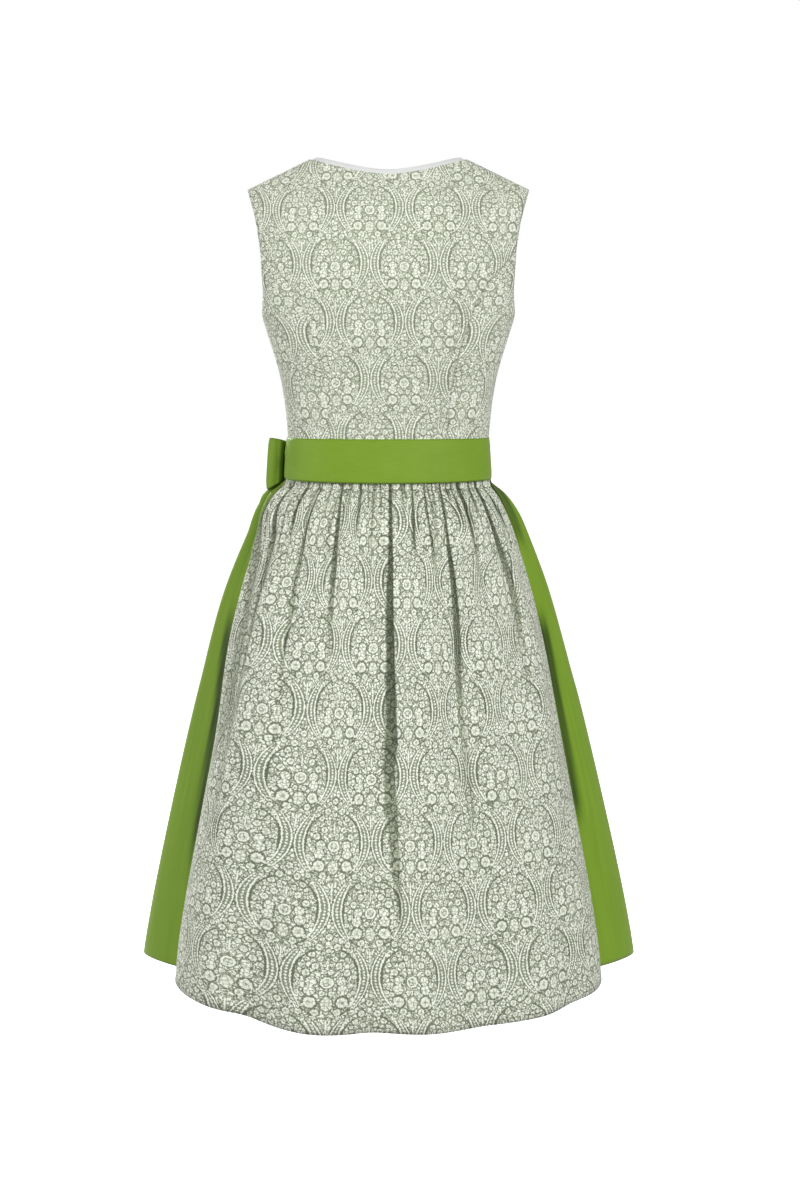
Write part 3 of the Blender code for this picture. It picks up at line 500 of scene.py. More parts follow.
# %% Printed cotton
def weave(u, v, threads):
    """Height of a plain weave; u and v are in millimetres, threads are per millimetre."""
    warp = (u * (math.pi * threads)).maths("SINE")
    weft = (v * (math.pi * threads)).maths("SINE")
    return warp * weft * 0.5 + 0.5


PRINT_SPREAD, PRINT_LIFT = 0.70, 0.343     # the print's range on the colour ramp
LIFT_LOST = 0.41         # and how much darker its ground gets with more contrast
PRINT_CLOUD = 0.14       # how much the dye's depth drifts across the cloth
# How much the painted shade of folds, gaps and hollows darkens the print and the satin.
PRINT_PAINTED_SHADE, SATIN_PAINTED_SHADE = 0.80, 0.65


def make_printed_cotton(name, contrast):
    finish = Finish(name, 0.88, sheen=0.12, specular=0.2)
    paleness, u, v = print_paleness(finish)
    cloud = finish.noise(finish.uv("cloth"), 14.0, 4.0)
    paleness = ((paleness + (cloud - 0.5) * PRINT_CLOUD) * (PRINT_SPREAD * contrast)
                + PRINT_LIFT - (contrast - 1.0) * LIFT_LOST)
    # Painted shade: the print is darkened where the cloth lies in a fold, a gap or a hollow, down
    # towards the ramp's colour of deep shade at 0.
    paleness = paleness * (1.0 - painted_shade(finish) * PRINT_PAINTED_SHADE)
    finish.set("Base Color", finish.read(
        paleness, [(0.0, tint(40, 46, 32)), (0.3, tint(134, 141, 119)),
                   (0.65, tint(195, 201, 179)), (1.0, tint(246, 249, 236))]))
    side, end = edge_distances(finish)
    pressed = side.maths("MINIMUM", end).rise(0.0, 0.003)
    finish.bump(weave(u, v, 2.2) * 0.08 + pressed * 0.45, 0.0006)
    print(name, "takes", len(finish.tree.nodes), "nodes")
    return finish.material


printed_cotton = make_printed_cotton("sage printed cotton", 1.14)
# The skirt is the same cotton; its copy is printed with more contrast and a darker ground, which
# paints in the fine shade of its many small folds.
skirt_cotton = make_printed_cotton("sage printed cotton of the skirt", 1.40)

# %% [markdown]
# The satin's slubs are a noise that is stretched along one set of threads. A row of top
# stitching runs just inside every hem: short dashes, a little paler and sunk in the cloth.

# %% Green satin cotton
STITCH = 3.0             # millimetres from one stitch to the next in a row of top stitching
STITCH_INSET = 0.0026    # and how far, in metres, the row is from the cloth's edge
STITCH_PALER, STITCH_SUNK = 0.16, 0.25


def make_green_satin(name, grain, strength):
    """Grain is how many slubs lie in a metre along the cloth's u and v."""
    finish = Finish(name, 0.55, sheen=0.06, specular=0.22)
    uv, u, v = cloth_place(finish)
    stretched = finish.node("ShaderNodeMapping", None, {"Vector": uv, "Scale": (*grain, 1.0)})
    slubs = finish.noise(stretched, 1.0, 3.0)
    cloud = finish.noise(uv, 9.0, 3.0)
    side, end = edge_distances(finish)
    hem = side.maths("MINIMUM", end)
    dashes = ((u + v) * (2 * math.pi / STITCH)).maths("SINE").rise(-0.5, -0.1)
    stitches = (hem - STITCH_INSET).maths("ABSOLUTE").fall(0.0002, 0.0005) * dashes
    tone = (slubs * strength + cloud * (1.0 - strength)) * 0.5 + 0.5
    # Painted shade: the satin is darkened in folds, gaps and hollows; the ramp's lowest stop is
    # reached only through it.
    tone = tone + stitches * STITCH_PALER - painted_shade(finish) * SATIN_PAINTED_SHADE
    finish.set("Base Color", finish.read(
        tone, [(0.0, tint(24, 40, 2)), (0.62, tint(112, 147, 30)), (0.88, tint(128, 162, 44))]))
    finish.set("Roughness", 0.52 + slubs * 0.12)
    finish.bump(weave(u, v, 3.0) * 0.06 + slubs * 0.12 + hem.rise(0.0, 0.0022) * 0.9
                - stitches * STITCH_SUNK, 0.0005)
    print(name, "takes", len(finish.tree.nodes), "nodes")
    return finish.material


green_satin = make_green_satin("apple green satin cotton", (60.0, 420.0), 0.45)
apron_satin = make_green_satin("apple green satin cotton of the apron", (240.0, 7.0), 0.80)

# %% [markdown]
# The trim is woven in small square loops. The buttons are a pale horn look, whose grain is a
# stirred noise, and the thread is a fine diagonal twist. Neither follows a cloth, so both
# read their place in the dress itself.

# %% White trim, buttons and thread
def coloured(finish, relief, stops, depth):
    """A material whose colour and relief both come from one field."""
    finish.set("Base Color", finish.read(relief, stops))
    finish.bump(relief, depth)
    return finish.material


def make_trim_cloth(name):
    finish = Finish(name, 0.85, sheen=0.2, specular=0.2)
    _, u, v = cloth_place(finish)
    loops = (u * (math.pi / 1.6)).maths("SINE") * (v * (math.pi / 1.5)).maths("SINE")
    # Painted shade: the trim's colour is darker in the dips between its loops, where its relief is
    # low.
    return coloured(finish, loops * 0.5 + 0.5,
                    [(0.0, tint(206, 208, 206)), (0.55, tint(240, 241, 238))], 0.0005)


def make_button_horn(name):
    finish = Finish(name, 0.35, specular=0.5)
    place = finish.node("ShaderNodeTexCoord", output="Object")
    grain = finish.noise(place, 260.0, 4.0, Distortion=1.4)
    return coloured(finish, grain, [(0.3, tint(196, 186, 160)), (0.7, tint(226, 218, 196))],
                    0.0001)


def make_thread(name, colour):
    finish = Finish(name, 0.7, sheen=0.2)
    place = finish.node("ShaderNodeTexCoord", output="Object")
    twist = finish.node("ShaderNodeTexWave", {"bands_direction": "DIAGONAL"},
                        {"Vector": place, "Scale": 900.0, "Distortion": 1.0})
    # Painted shade: the thread is darker in the grooves of its twist, where its relief is low.
    low = tuple(v * 0.8 for v in colour[:3]) + (1.0,)
    return coloured(finish, twist, [(0.2, low), (0.8, colour)], 0.0001)


trim_cloth = make_trim_cloth("white woven trim")
button_horn = make_button_horn("pale horn")
sage_thread = make_thread("sage thread", tint(168, 176, 148))
print("finishes:", [material.name for material in bpy.data.materials])

# %% [markdown]
# ## Helpers for curves and steps
#
# The dress is described by short tables: at each height, how wide it is and how deep. A
# smooth value between two rows of a table is all that its forms need. The tables are those
# of the solids, so that each cloth lies on its own solid.

# %% Values along a table
def along(table, place, column):
    """Smooth value of one column at a place in the table's first column."""
    rows = table if table[0][0] < table[-1][0] else tuple(reversed(table))
    keys = [row[0] for row in rows]
    values = [getattr(row, column) for row in rows]
    last = len(keys) - 1
    place = min(max(place, keys[0]), keys[last])
    low = min(bisect_right(keys, place) - 1, last - 1)

    def slope(index):
        before = max(index - 1, 0)
        after = min(index + 1, last)
        return (values[after] - values[before]) / (keys[after] - keys[before])

    step = keys[low + 1] - keys[low]
    t = (place - keys[low]) / step
    bend_out = t * (1 - t) ** 2 * slope(low) * step
    bend_in = t * t * (t - 1) * slope(low + 1) * step
    blend = t * t * (3 - 2 * t)
    return values[low] + blend * (values[low + 1] - values[low]) + bend_out + bend_in


def mix(start, end, share):
    return start + (end - start) * share


def smooth(start, end, value):
    """0 before start, 1 after end and a soft step between; start may lie after end."""
    t = min(max((value - start) / (end - start), 0.0), 1.0)
    return t * t * (3 - 2 * t)


def bell(distance, spread):
    return math.exp(-((distance / spread) ** 2))


def turn_between(angle, other):
    """Signed difference of two angles in degrees, from -180 to 180."""
    return (angle - other + 180.0) % 360.0 - 180.0


def squarish(value, roundness):
    return math.copysign(abs(value) ** (2 / roundness), value)


def between(values, place):
    """Value at a fractional place in a row of evenly numbered values."""
    low = min(int(place), len(values) - 2)
    return mix(values[low], values[low + 1], place - low)


print("halfway between 1 and 3 is", between((1.0, 3.0), 0.5))

# %% [markdown]
# ## A sheet of cloth
#
# Every cloth starts as a flat grid from one operator, and each of its points is then moved
# to where the cloth hangs. The grid keeps three UV maps: `cloth`, the cut laid flat in metres,
# `edges`, how far a point is from the nearest side and end of the cut, and `folds`, a painted
# shade from 0 to 1 that darkens the colour on the floors of folds and in narrow gaps and
# hollows, where two walls of cloth shade each other.
# Lengths are measured along the finished cloth, so the print neither stretches nor slides.
# A Solidify modifier gives the sheet its thickness at the end.

# %% Grid of cloth
CLOTH = 0.0006           # thickness of the cotton
MERGE = 1e-6             # points closer than this are one


def grid_points(place, rows, columns):
    """Points of a cloth, row by row; place takes shares from 0 to 1 of the rows and columns."""
    return [[place(row / rows, column / columns) for column in range(columns + 1)]
            for row in range(rows + 1)]


def lengths_across(line):
    """How far each point of a row or column is from its start, along the cloth."""
    total = [0.0]
    for before, after in zip(line, line[1:]):
        total.append(total[-1] + (after - before).length)
    return total


def edge_map(points):
    """Distance of each point from the nearest side and the nearest end."""
    across = [lengths_across(row) for row in points]
    down = [lengths_across(column) for column in zip(*points)]
    return [[(min(across[r][c], across[r][-1] - across[r][c]),
              min(down[c][r], down[c][-1] - down[c][r]))
             for c in range(len(points[0]))] for r in range(len(points))]


def plain_map(points):
    """Flat coordinates of a cloth without a print: lengths along its middle row and column."""
    across = lengths_across(points[len(points) // 2])
    down = lengths_across([row[len(row) // 2] for row in points])
    return [[(across[c], down[r]) for c in range(len(across))] for r in range(len(down))]


def cloth_mesh(points, cloth_map, shades):
    """Sheet through a table of points, with its three UV maps."""
    rows, columns = len(points) - 1, len(points[0]) - 1
    shades = shades or [[0.0] * (columns + 1)] * (rows + 1)
    maps = {"cloth": cloth_map or plain_map(points), "edges": edge_map(points),
            "folds": [[(dark, 0.0) for dark in row] for row in shades]}
    bm = bmesh.new()
    bmesh.ops.create_grid(bm, x_segments=columns, y_segments=rows, size=1.0)
    bm.verts.ensure_lookup_table()
    layers = {key: bm.loops.layers.uv.new(key) for key in maps}
    place_of = {}
    for vert in bm.verts:
        row = round((vert.co.y + 1) / 2 * rows)
        column = round((vert.co.x + 1) / 2 * columns)
        place_of[vert.index] = (row, column)
    for face in bm.faces:
        for loop in face.loops:
            row, column = place_of[loop.vert.index]
            for key, layer in layers.items():
                loop[layer].uv = maps[key][row][column]
    for vert in bm.verts:
        row, column = place_of[vert.index]
        vert.co = points[row][column]
    return bm


def add_piece(name, bm, finish, thick=0.0):
    """A bmesh made into a piece of the dress."""
    mesh = bpy.data.meshes.new(name)
    bm.to_mesh(mesh)
    bm.free()
    mesh.shade_smooth()
    mesh.materials.append(finish)
    piece = bpy.data.objects.new(name, mesh)
    bpy.context.scene.collection.objects.link(piece)
    if thick:
        solidify = piece.modifiers.new("thickness", "SOLIDIFY")
        solidify.thickness = thick
        solidify.offset = 0.0
        solidify.use_even_offset = False
    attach(piece, "root")
    return piece


def cover(node, points, finish, cloth_map=None, shades=None, closed=False, flip=False,
          thick=CLOTH):
    """Lays a cloth over one of the solids, and hides that solid."""
    bm = cloth_mesh(points, cloth_map, shades)
    if closed:
        bmesh.ops.remove_doubles(bm, verts=bm.verts, dist=MERGE)
    if flip:
        bmesh.ops.reverse_faces(bm, faces=bm.faces)
    piece = add_piece(node + "_cloth", bm, finish, thick)
    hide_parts(node)
    return piece


print("cotton is", CLOTH * 1000, "mm thick")

# %% [markdown]
# ## The bodice
#
# It is seven panels: a centre back, two side backs and two side fronts that meet at the
# princess seams, and two fronts that lap over each other at the buttons. One closed torso
# form carries them all. Each panel's seam edges roll in by under half a millimetre, which is
# what makes a pressed seam readable, and the cloth strains in faint folds above the waist.

# %% Torso form
WAIST_Z = -0.402
UNDERARM_Z = -0.207
SHOULDER_Z = -0.040
NECK_HALF = 0.105
NECK_BACK_DROP, NECK_FRONT_DROP = 0.023, 0.112
NECK_BACK_POWER, NECK_FRONT_POWER = 1.6, 2.4
NAPE_RISE = 0.030
BACK_ROUNDNESS, FRONT_ROUNDNESS = 2.3, 2.2
ARMHOLE_CUT_BACK, ARMHOLE_CUT_FRONT = 27.0, 38.0
ARMHOLE_MIDDLE_Z = (UNDERARM_Z + SHOULDER_Z) / 2
SHOULDER_ROUNDING, SHOULDER_SHARE = 0.12, 0.55
TORSO_FLATNESS = 1.8     # its faces look more to the back and front than a round one's
BUST_X, BUST_Z, BUST_RISE, BUST_SPREAD, BUST_BRIDGE = 0.082, -0.262, 0.016, 0.055, 0.045
BUST_FULL = 1.6          # its rise fades towards the side, where the torso is thin
LAP_RIGHT, LAP_LEFT, LAP_BLEND, LAP_SINK = 0.012, 0.009, 0.008, 0.0017
LAP_END = LAP_RIGHT + LAP_BLEND
SEAM_ROWS, YOKE_ROWS, YOKE_ROW_POWER = 8, 6, 1.8
BACK, FRONT = 1, -1      # the two sides of the body, and of y

Torso = namedtuple("Torso", "z half_width back front")
TORSO = table_of(Torso, (
    (-0.402, 0.1334, 0.0770, 0.0920), (-0.370, 0.1344, 0.0810, 0.1000),
    (-0.328, 0.1382, 0.0875, 0.1090), (-0.292, 0.1439, 0.0930, 0.1160),
    (-0.265, 0.1507, 0.0970, 0.1190), (-0.236, 0.1598, 0.1000, 0.1180),
    (-0.207, 0.1685, 0.1020, 0.1140), (-0.180, 0.1740, 0.1025, 0.1070),
    (-0.141, 0.1840, 0.1005, 0.0950), (-0.104, 0.1880, 0.0950, 0.0830),
    (-0.070, 0.1885, 0.0850, 0.0720), (-0.040, 0.1880, 0.0730, 0.0620),
    (0.040, 0.1880, 0.0500, 0.0440),
))
SHOULDER_HALF = along(TORSO, SHOULDER_Z, "half_width")
Seam = namedtuple("Seam", "z x")
SEAMS = {
    BACK: (Seam(-0.402, 0.0740), Seam(-0.310, 0.0820), Seam(-0.250, 0.0950),
           Seam(-0.210, 0.1080), Seam(-0.172, 0.1260)),
    FRONT: (Seam(-0.402, 0.0580), Seam(-0.330, 0.0710), Seam(-0.270, 0.0860),
            Seam(-0.215, 0.1000), Seam(-0.165, 0.1230)),
}


def shoulder_line(x):
    """Height of the shoulder ridge above a place across the body."""
    x = abs(x)
    if x < NECK_HALF:
        return NAPE_RISE * (1 - (x / NECK_HALF) ** 2)
    return SHOULDER_Z * (x - NECK_HALF) / (SHOULDER_HALF - NECK_HALF)


def shoulder_round(x, z):
    below = min(max((shoulder_line(x) - z) / SHOULDER_ROUNDING, 0.0), 1.0)
    return math.sqrt(1 - (1 - below) ** 2)


def roundness_of(side):
    return BACK_ROUNDNESS if side == BACK else FRONT_ROUNDNESS


def torso(x, z, side):
    """Point on the bodice's cloth."""
    roundness = roundness_of(side)
    across = min(abs(x) / along(TORSO, z, "half_width"), 1.0)
    fullness = (1 - across ** roundness) ** (1 / roundness) * shoulder_round(x, z)
    depth = along(TORSO, z, "back" if side == BACK else "front") * fullness
    if side == FRONT:
        aside = (abs(x) ** 3 + BUST_BRIDGE ** 3) ** (1 / 3) - BUST_X
        mound = bell(math.hypot(aside, z - BUST_Z), BUST_SPREAD)
        depth += BUST_RISE * mound * min(fullness * BUST_FULL, 1.0)
    return Vector((x, side * depth, z))


def torso_round(angle, z, side):
    """The same surface by its angle from the centre line, 90 being the side seam."""
    sine = squarish(math.sin(math.radians(angle)), roundness_of(side))
    return torso(along(TORSO, z, "half_width") * sine, z, side)


print("shoulders are", round(2 * SHOULDER_HALF, 3), "m wide")

# %% [markdown]
# A panel's grid follows its seams: its rows climb from the waist to the armhole's middle,
# and above that they draw together on the shoulder, while they follow the armhole's curve.

# %% Armholes, princess seams and necklines
def armhole_cut(side):
    return ARMHOLE_CUT_BACK if side == BACK else ARMHOLE_CUT_FRONT


def angle_at(x, z, side):
    across = min(x / along(TORSO, z, "half_width"), 1.0)
    return math.degrees(math.asin(across ** (roundness_of(side) / 2)))


def armhole_x(z, side):
    rise = (z - UNDERARM_Z) / (SHOULDER_Z - UNDERARM_Z)
    cut = armhole_cut(side) * math.sqrt(max(math.sin(math.pi * rise), 0.0))
    return abs(torso_round(90 - cut, z, side).x)


def armhole_z(angle, side):
    share = min(max((90 - angle) / armhole_cut(side), 0.0), 1.0)
    return mix(UNDERARM_Z, SHOULDER_Z, math.asin(share ** 2) / math.pi)


SEAM_ENDS = {side: (Seam(ARMHOLE_MIDDLE_Z, armhole_x(ARMHOLE_MIDDLE_Z, side)),)
             for side in (BACK, FRONT)}


def seam_x(z, side):
    return along(SEAMS[side] + SEAM_ENDS[side], z, "x")


def neckline_z(x, side):
    share = min(abs(x) / NECK_HALF, 1.0)
    if side == BACK:
        return -NECK_BACK_DROP * (1 - share ** NECK_BACK_POWER)
    return -NECK_FRONT_DROP * (1 - share ** NECK_FRONT_POWER)


def panel_top(x, side):
    return neckline_z(x, side) if abs(x) < NECK_HALF else shoulder_line(x)


def row_height_and_reach(row, side, top_z):
    """Height of a row on a column whose top is at top_z, and how far out its edge lies."""
    if row <= SEAM_ROWS:
        z = mix(WAIST_Z, ARMHOLE_MIDDLE_Z, row / SEAM_ROWS)
        return z, seam_x(z, side)
    left = (1 - (row - SEAM_ROWS) / YOKE_ROWS) ** YOKE_ROW_POWER
    reach = armhole_x(mix(SHOULDER_Z, ARMHOLE_MIDDLE_Z, left), side)
    return mix(top_z, ARMHOLE_MIDDLE_Z, left), reach


print("princess seams start", round(seam_x(WAIST_Z, BACK), 3), "m from the centre back")

# %% [markdown]
# The panels' map is made so that the print's rows stay level across a seam, as a maker
# matches them: a step's level part goes into u and what is left of it goes into v.

# %% Print on the bodice
FIRST_ROW_Z = -0.0675    # height of the print's first row of medallions at the back


def panel_map(points):
    """Flat coordinates of a panel; u is 0 at its first column and v at the first row's height."""
    result = []
    for r, row in enumerate(points):
        line = []
        u = 0.0
        for c, point in enumerate(row):
            if c:
                step = point - row[c - 1]
                u += math.hypot(step.x, step.y)
            if r:
                before = points[r - 1][c]
                aside = row[min(c + 1, len(row) - 1)] - row[max(c - 1, 0)]
                level = Vector((aside.x, aside.y, 0.0)).normalized()
                rise = point - before
                rise -= level * rise.dot(level)
                v = result[r - 1][c][1] + math.copysign(rise.length, rise.z)
            else:
                v = point.z - FIRST_ROW_Z
            line.append((u, v))
        result.append(line)
    return result


def shifted(flat, column, u, v=0.0):
    """The same map with a column's u set to a value and all heights shifted."""
    return [[(place_u - row[column][0] + u, place_v + v) for place_u, place_v in row]
            for row in flat]


def outward_of(point):
    return Vector((point.x, point.y * TORSO_FLATNESS, 0.0)).normalized()


SEAM_ROLL, SEAM_ROLL_WIDTH = 0.0004, 0.0018
STRAIN_WIDTH, DIP_WIDTH, DIP_AWAY, DIP_SHARE = 0.007, 0.008, 0.011, 0.5
Strain = namedtuple("Strain", "x z side length height tilt")
STRAINS = table_of(Strain, (
    (0.050, -0.352, BACK, 0.050, 0.0013, 0.10), (-0.062, -0.345, BACK, 0.045, 0.0012, -0.15),
    (0.010, -0.330, BACK, 0.060, 0.0008, 0.03), (0.085, -0.372, BACK, 0.040, 0.0011, 0.22),
    (-0.090, -0.318, BACK, 0.035, 0.0009, -0.30), (-0.018, -0.366, BACK, 0.045, 0.0009, -0.05),
    (0.140, -0.140, BACK, 0.040, 0.0012, 1.20), (-0.142, -0.135, BACK, 0.040, 0.0012, -1.20),
    (0.060, -0.060, BACK, 0.035, 0.0007, 0.60), (-0.064, -0.058, BACK, 0.035, 0.0007, -0.60),
    (0.062, -0.350, FRONT, 0.045, 0.0012, 0.15), (-0.060, -0.356, FRONT, 0.045, 0.0012, -0.15),
    (0.105, -0.300, FRONT, 0.040, 0.0009, 0.40), (-0.108, -0.296, FRONT, 0.040, 0.0009, -0.40),
    (0.130, -0.165, FRONT, 0.040, 0.0012, 1.10), (-0.130, -0.165, FRONT, 0.040, 0.0012, -1.10),
))


def strained(point, side):
    """Moves a point of the bodice out or in by its faint strain folds."""
    lift = 0.0
    for fold in STRAINS:
        if fold.side == side:
            dx, dz = point.x - fold.x, point.z - fold.z
            run = (dx + dz * fold.tilt) / math.hypot(1.0, fold.tilt)
            off = (dz - dx * fold.tilt) / math.hypot(1.0, fold.tilt)
            across = bell(off, STRAIN_WIDTH) - DIP_SHARE * bell(off - DIP_AWAY, DIP_WIDTH)
            lift += fold.height * bell(run, fold.length) * across
    return point + outward_of(point) * lift


print(len(STRAINS), "strain folds")

# %% [markdown]
# The centre back carries the neckline, so its columns lie closer together towards the
# neck's corners. One function rolls the seams in and lays every panel of the bodice.

# %% Centre back
NECK_STEPS = (0.0, 0.30, 0.57, 0.80, 0.94, 1.0)
SHOULDER_STEPS = (0.34, 0.67, 1.0)
HALF_TOP = (tuple(NECK_HALF * step for step in NECK_STEPS)
            + tuple(mix(NECK_HALF, SHOULDER_HALF, step) for step in SHOULDER_STEPS))
BACK_TOP = tuple(-x for x in reversed(HALF_TOP[1:])) + HALF_TOP
PANEL_ROWS, BACK_COLUMNS, FRONT_COLUMNS = 84, 96, 60
SIDE_ROWS, SIDE_COLUMNS = 64, 30
bodice_pieces = []


def rolled(points, side):
    """The same points, strained, with their side edges rolled into the seams."""
    edges = edge_map(points)
    return [[strained(point, side)
             - outward_of(point) * SEAM_ROLL * bell(edges[r][c][0], SEAM_ROLL_WIDTH)
             for c, point in enumerate(row)] for r, row in enumerate(points)]


def add_panel(node, points, side, flat, flip):
    bodice_pieces.append(cover(node, rolled(points, side), printed_cotton,
                               flat, flip=flip))


def centre_back(up, over):
    top_x = between(BACK_TOP, over * (len(BACK_TOP) - 1))
    z, reach = row_height_and_reach(up * (SEAM_ROWS + YOKE_ROWS), BACK, panel_top(top_x, BACK))
    return torso(top_x / SHOULDER_HALF * reach, z, BACK)


MEDALLION_X = 0.0239     # a medallion's middle lies this far left of the centre back
points = grid_points(centre_back, PANEL_ROWS, BACK_COLUMNS)
add_panel("back_centre", points, BACK,
          shifted(panel_map(points), BACK_COLUMNS // 2, -MEDALLION_X), flip=True)
print("centre back:", len(bodice_pieces[0].data.polygons), "faces")

# %% [markdown]
# The four side panels come from one function, told the side of the body and the hand. Their
# maps are shifted so that a medallion lies where one does on the finished dress.

# %% Side panels
SIDE_ROW_Z = -0.162      # height of a medallion's middle on the side backs
SIDE_X = 0.142           # and how far out it lies


def side_panel(side, hand):
    top_angle = 90 - armhole_cut(side)

    def place(up, over):
        seam_z = mix(WAIST_Z, ARMHOLE_MIDDLE_Z, up)
        angle = mix(angle_at(seam_x(seam_z, side), seam_z, side), 90, over)
        z = mix(WAIST_Z, armhole_z(mix(top_angle, 90, over), side), up)
        point = torso_round(angle, z, side)
        return Vector((hand * point.x, point.y, point.z))

    return place


def arc_to_side(side, x, z):
    """Length of the cloth from x round to the side seam at one height."""
    start = angle_at(x, z, side)
    line = [torso_round(mix(start, 90, step / 20), z, side) for step in range(21)]
    return lengths_across(line)[-1]


for hand, hand_name in ((1, "left"), (-1, "right")):
    for side, side_name in ((BACK, "back"), (FRONT, "front")):
        points = grid_points(side_panel(side, hand), SIDE_ROWS, SIDE_COLUMNS)
        flat = shifted(panel_map(points), -1, arc_to_side(side, SIDE_X, SIDE_ROW_Z),
                       FIRST_ROW_Z - SIDE_ROW_Z)
        add_panel(f"side_{side_name}_{hand_name}", points, side, flat, flip=hand * side > 0)
print(len(bodice_pieces), "panels so far")

# %% [markdown]
# The right front laps over the left one, which sinks under it by one thickness. Both fronts
# follow the same rows, so the neckline runs on across the lap.

# %% Fronts
FRONT_TOP = (LAP_END,) + HALF_TOP[2:]
LEFT_LAP = (-LAP_LEFT, 0.0, LAP_RIGHT)
RIGHT_LAP = (-LAP_RIGHT, 0.0, LAP_LEFT)


def front_panel(hand, lap_columns, sink):
    stops = lap_columns + FRONT_TOP

    def place(up, over):
        row = up * (SEAM_ROWS + YOKE_ROWS)
        top_x = between(stops, over * (len(stops) - 1))
        z, reach = row_height_and_reach(row, FRONT, panel_top(top_x, FRONT))
        x = top_x
        if top_x > LAP_END:
            x = mix(LAP_END, reach, (top_x - LAP_END) / (SHOULDER_HALF - LAP_END))
        point = torso(x, z, FRONT)
        point.y += sink * (1 - smooth(LAP_RIGHT, LAP_END, x))
        return Vector((hand * point.x, point.y, point.z))

    return place


for name, hand, lap_columns, sink in (("front_left", 1, LEFT_LAP, LAP_SINK),
                                      ("front_right", -1, RIGHT_LAP, 0.0)):
    points = grid_points(front_panel(hand, lap_columns, sink), PANEL_ROWS, FRONT_COLUMNS)
    add_panel(name, points, FRONT,
              shifted(panel_map(points), 0, lap_columns[0] - MEDALLION_WIDTH / 2000), hand < 0)
print(len(bodice_pieces), "panels of the bodice")

# %% [markdown]
# ## The gathered skirt
#
# Two widths of printed cotton are drawn up at the waist, about thirty gathers to the back.
# A gather is a sharp valley between two round crests and dies out down the skirt, while a
# few of them run on as long folds. A cloth simulation would give folds of its own choice,
# so these are placed from a table: where each starts and ends, and how deep and how
# wide it is.

# %% Skirt form
SKIRT_HEM_Z = -1.107
BAND_TOP_Z, BAND_BOTTOM_Z = -0.373, -0.431
BAND_MIDDLE_Z = (BAND_TOP_Z + BAND_BOTTOM_Z) / 2
SKIRT_ROUNDNESS = 2.15
Skirt = namedtuple("Skirt", "z half_width gather")
SKIRT = table_of(Skirt, (
    (SKIRT_HEM_Z, 0.2856, 0.0), (-1.051, 0.2800, 0.0), (-0.961, 0.2663, 0.0),
    (-0.840, 0.2450, 0.0), (-0.717, 0.2220, 0.0003), (-0.656, 0.2106, 0.0006),
    (-0.583, 0.1938, 0.0012), (-0.516, 0.1742, 0.0019), (-0.480, 0.1615, 0.0023),
    (-0.456, 0.1502, 0.0026), (-0.445, 0.1440, 0.0022), (BAND_BOTTOM_Z, 0.1360, 0.0010),
    (WAIST_Z, 0.1350, 0.0005),
))
SKIRT_WAIST, SKIRT_WAIST_BACK, SKIRT_WAIST_FRONT = 0.1360, 0.0830, 0.0980
SKIRT_HEM_HALF, SKIRT_HEM_BACK, SKIRT_HEM_FRONT = 0.2856, 0.2900, 0.2650
SKIRT_HEM_SHIFT = 0.070
HEM_SIDE_RISE, HEM_RISE_START = 0.018, -0.800
SWELL_SHARE, SWELL_WIDTH = 0.4, 2.3
FOLD_GROWN, FOLD_FADING = 0.22, 0.45     # shares of its way down a fold

Fold = namedtuple("Fold", "angle_top angle_hem z_top z_end depth spread")
SKIRT_FOLDS = table_of(Fold, (
    (-1.3, -3.0, -0.428, -1.020, 0.0040, 5.0), (-26.0, -24.5, -0.432, -0.960, 0.0045, 5.0),
    (-57.0, -59.0, -0.432, -0.820, 0.0050, 4.6), (23.0, 18.5, -0.428, -0.800, 0.0040, 4.4),
    (39.0, 35.5, -0.432, -0.900, 0.0045, 4.6), (60.0, 74.0, -0.432, -0.960, 0.0055, 4.6),
    (82.0, 86.0, -0.450, -0.800, -0.0110, 6.0), (80.0, 82.0, -0.405, -0.540, -0.0095, 11.0),
    (104.0, 100.0, -0.440, -0.900, 0.0080, 3.4), (133.0, 130.0, -0.436, -0.820, 0.0090, 3.2),
    (168.0, 171.0, -0.440, -0.960, 0.0110, 3.0), (206.0, 203.0, -0.436, -0.760, 0.0080, 3.2),
    (241.0, 246.0, -0.440, -0.880, 0.0090, 3.4),
))

# The hem swings out in broad waves that start well above it.
Wave = namedtuple("Wave", "angle z_start rise spread")
SKIRT_HEM_WAVES = table_of(Wave, (
    (17.0, -0.72, 0.0225, 11.0), (-9.0, -0.80, 0.0100, 7.5), (3.5, -0.86, -0.0080, 4.5),
    (-24.0, -0.88, -0.0050, 6.0), (-42.0, -0.80, 0.0040, 7.0), (40.0, -0.82, -0.0110, 8.0),
    (-57.0, -0.82, -0.0060, 8.0), (118.0, -0.80, 0.0080, 11.0), (152.0, -0.84, -0.0060, 9.0),
    (187.0, -0.80, 0.0090, 11.0), (224.0, -0.84, 0.0070, 10.0),
))

# Under the bow the skirt springs out a little more than at its other side.
Fullness = namedtuple("Fullness", "z extra")
LEFT_FULLNESS = table_of(Fullness, (
    (-0.5150, 0.0), (-0.4975, 0.0012), (-0.4787, 0.0052), (-0.4625, 0.0080), (-0.4450, 0.0068),
    (-0.4310, 0.0020), (-0.4240, 0.0),
))


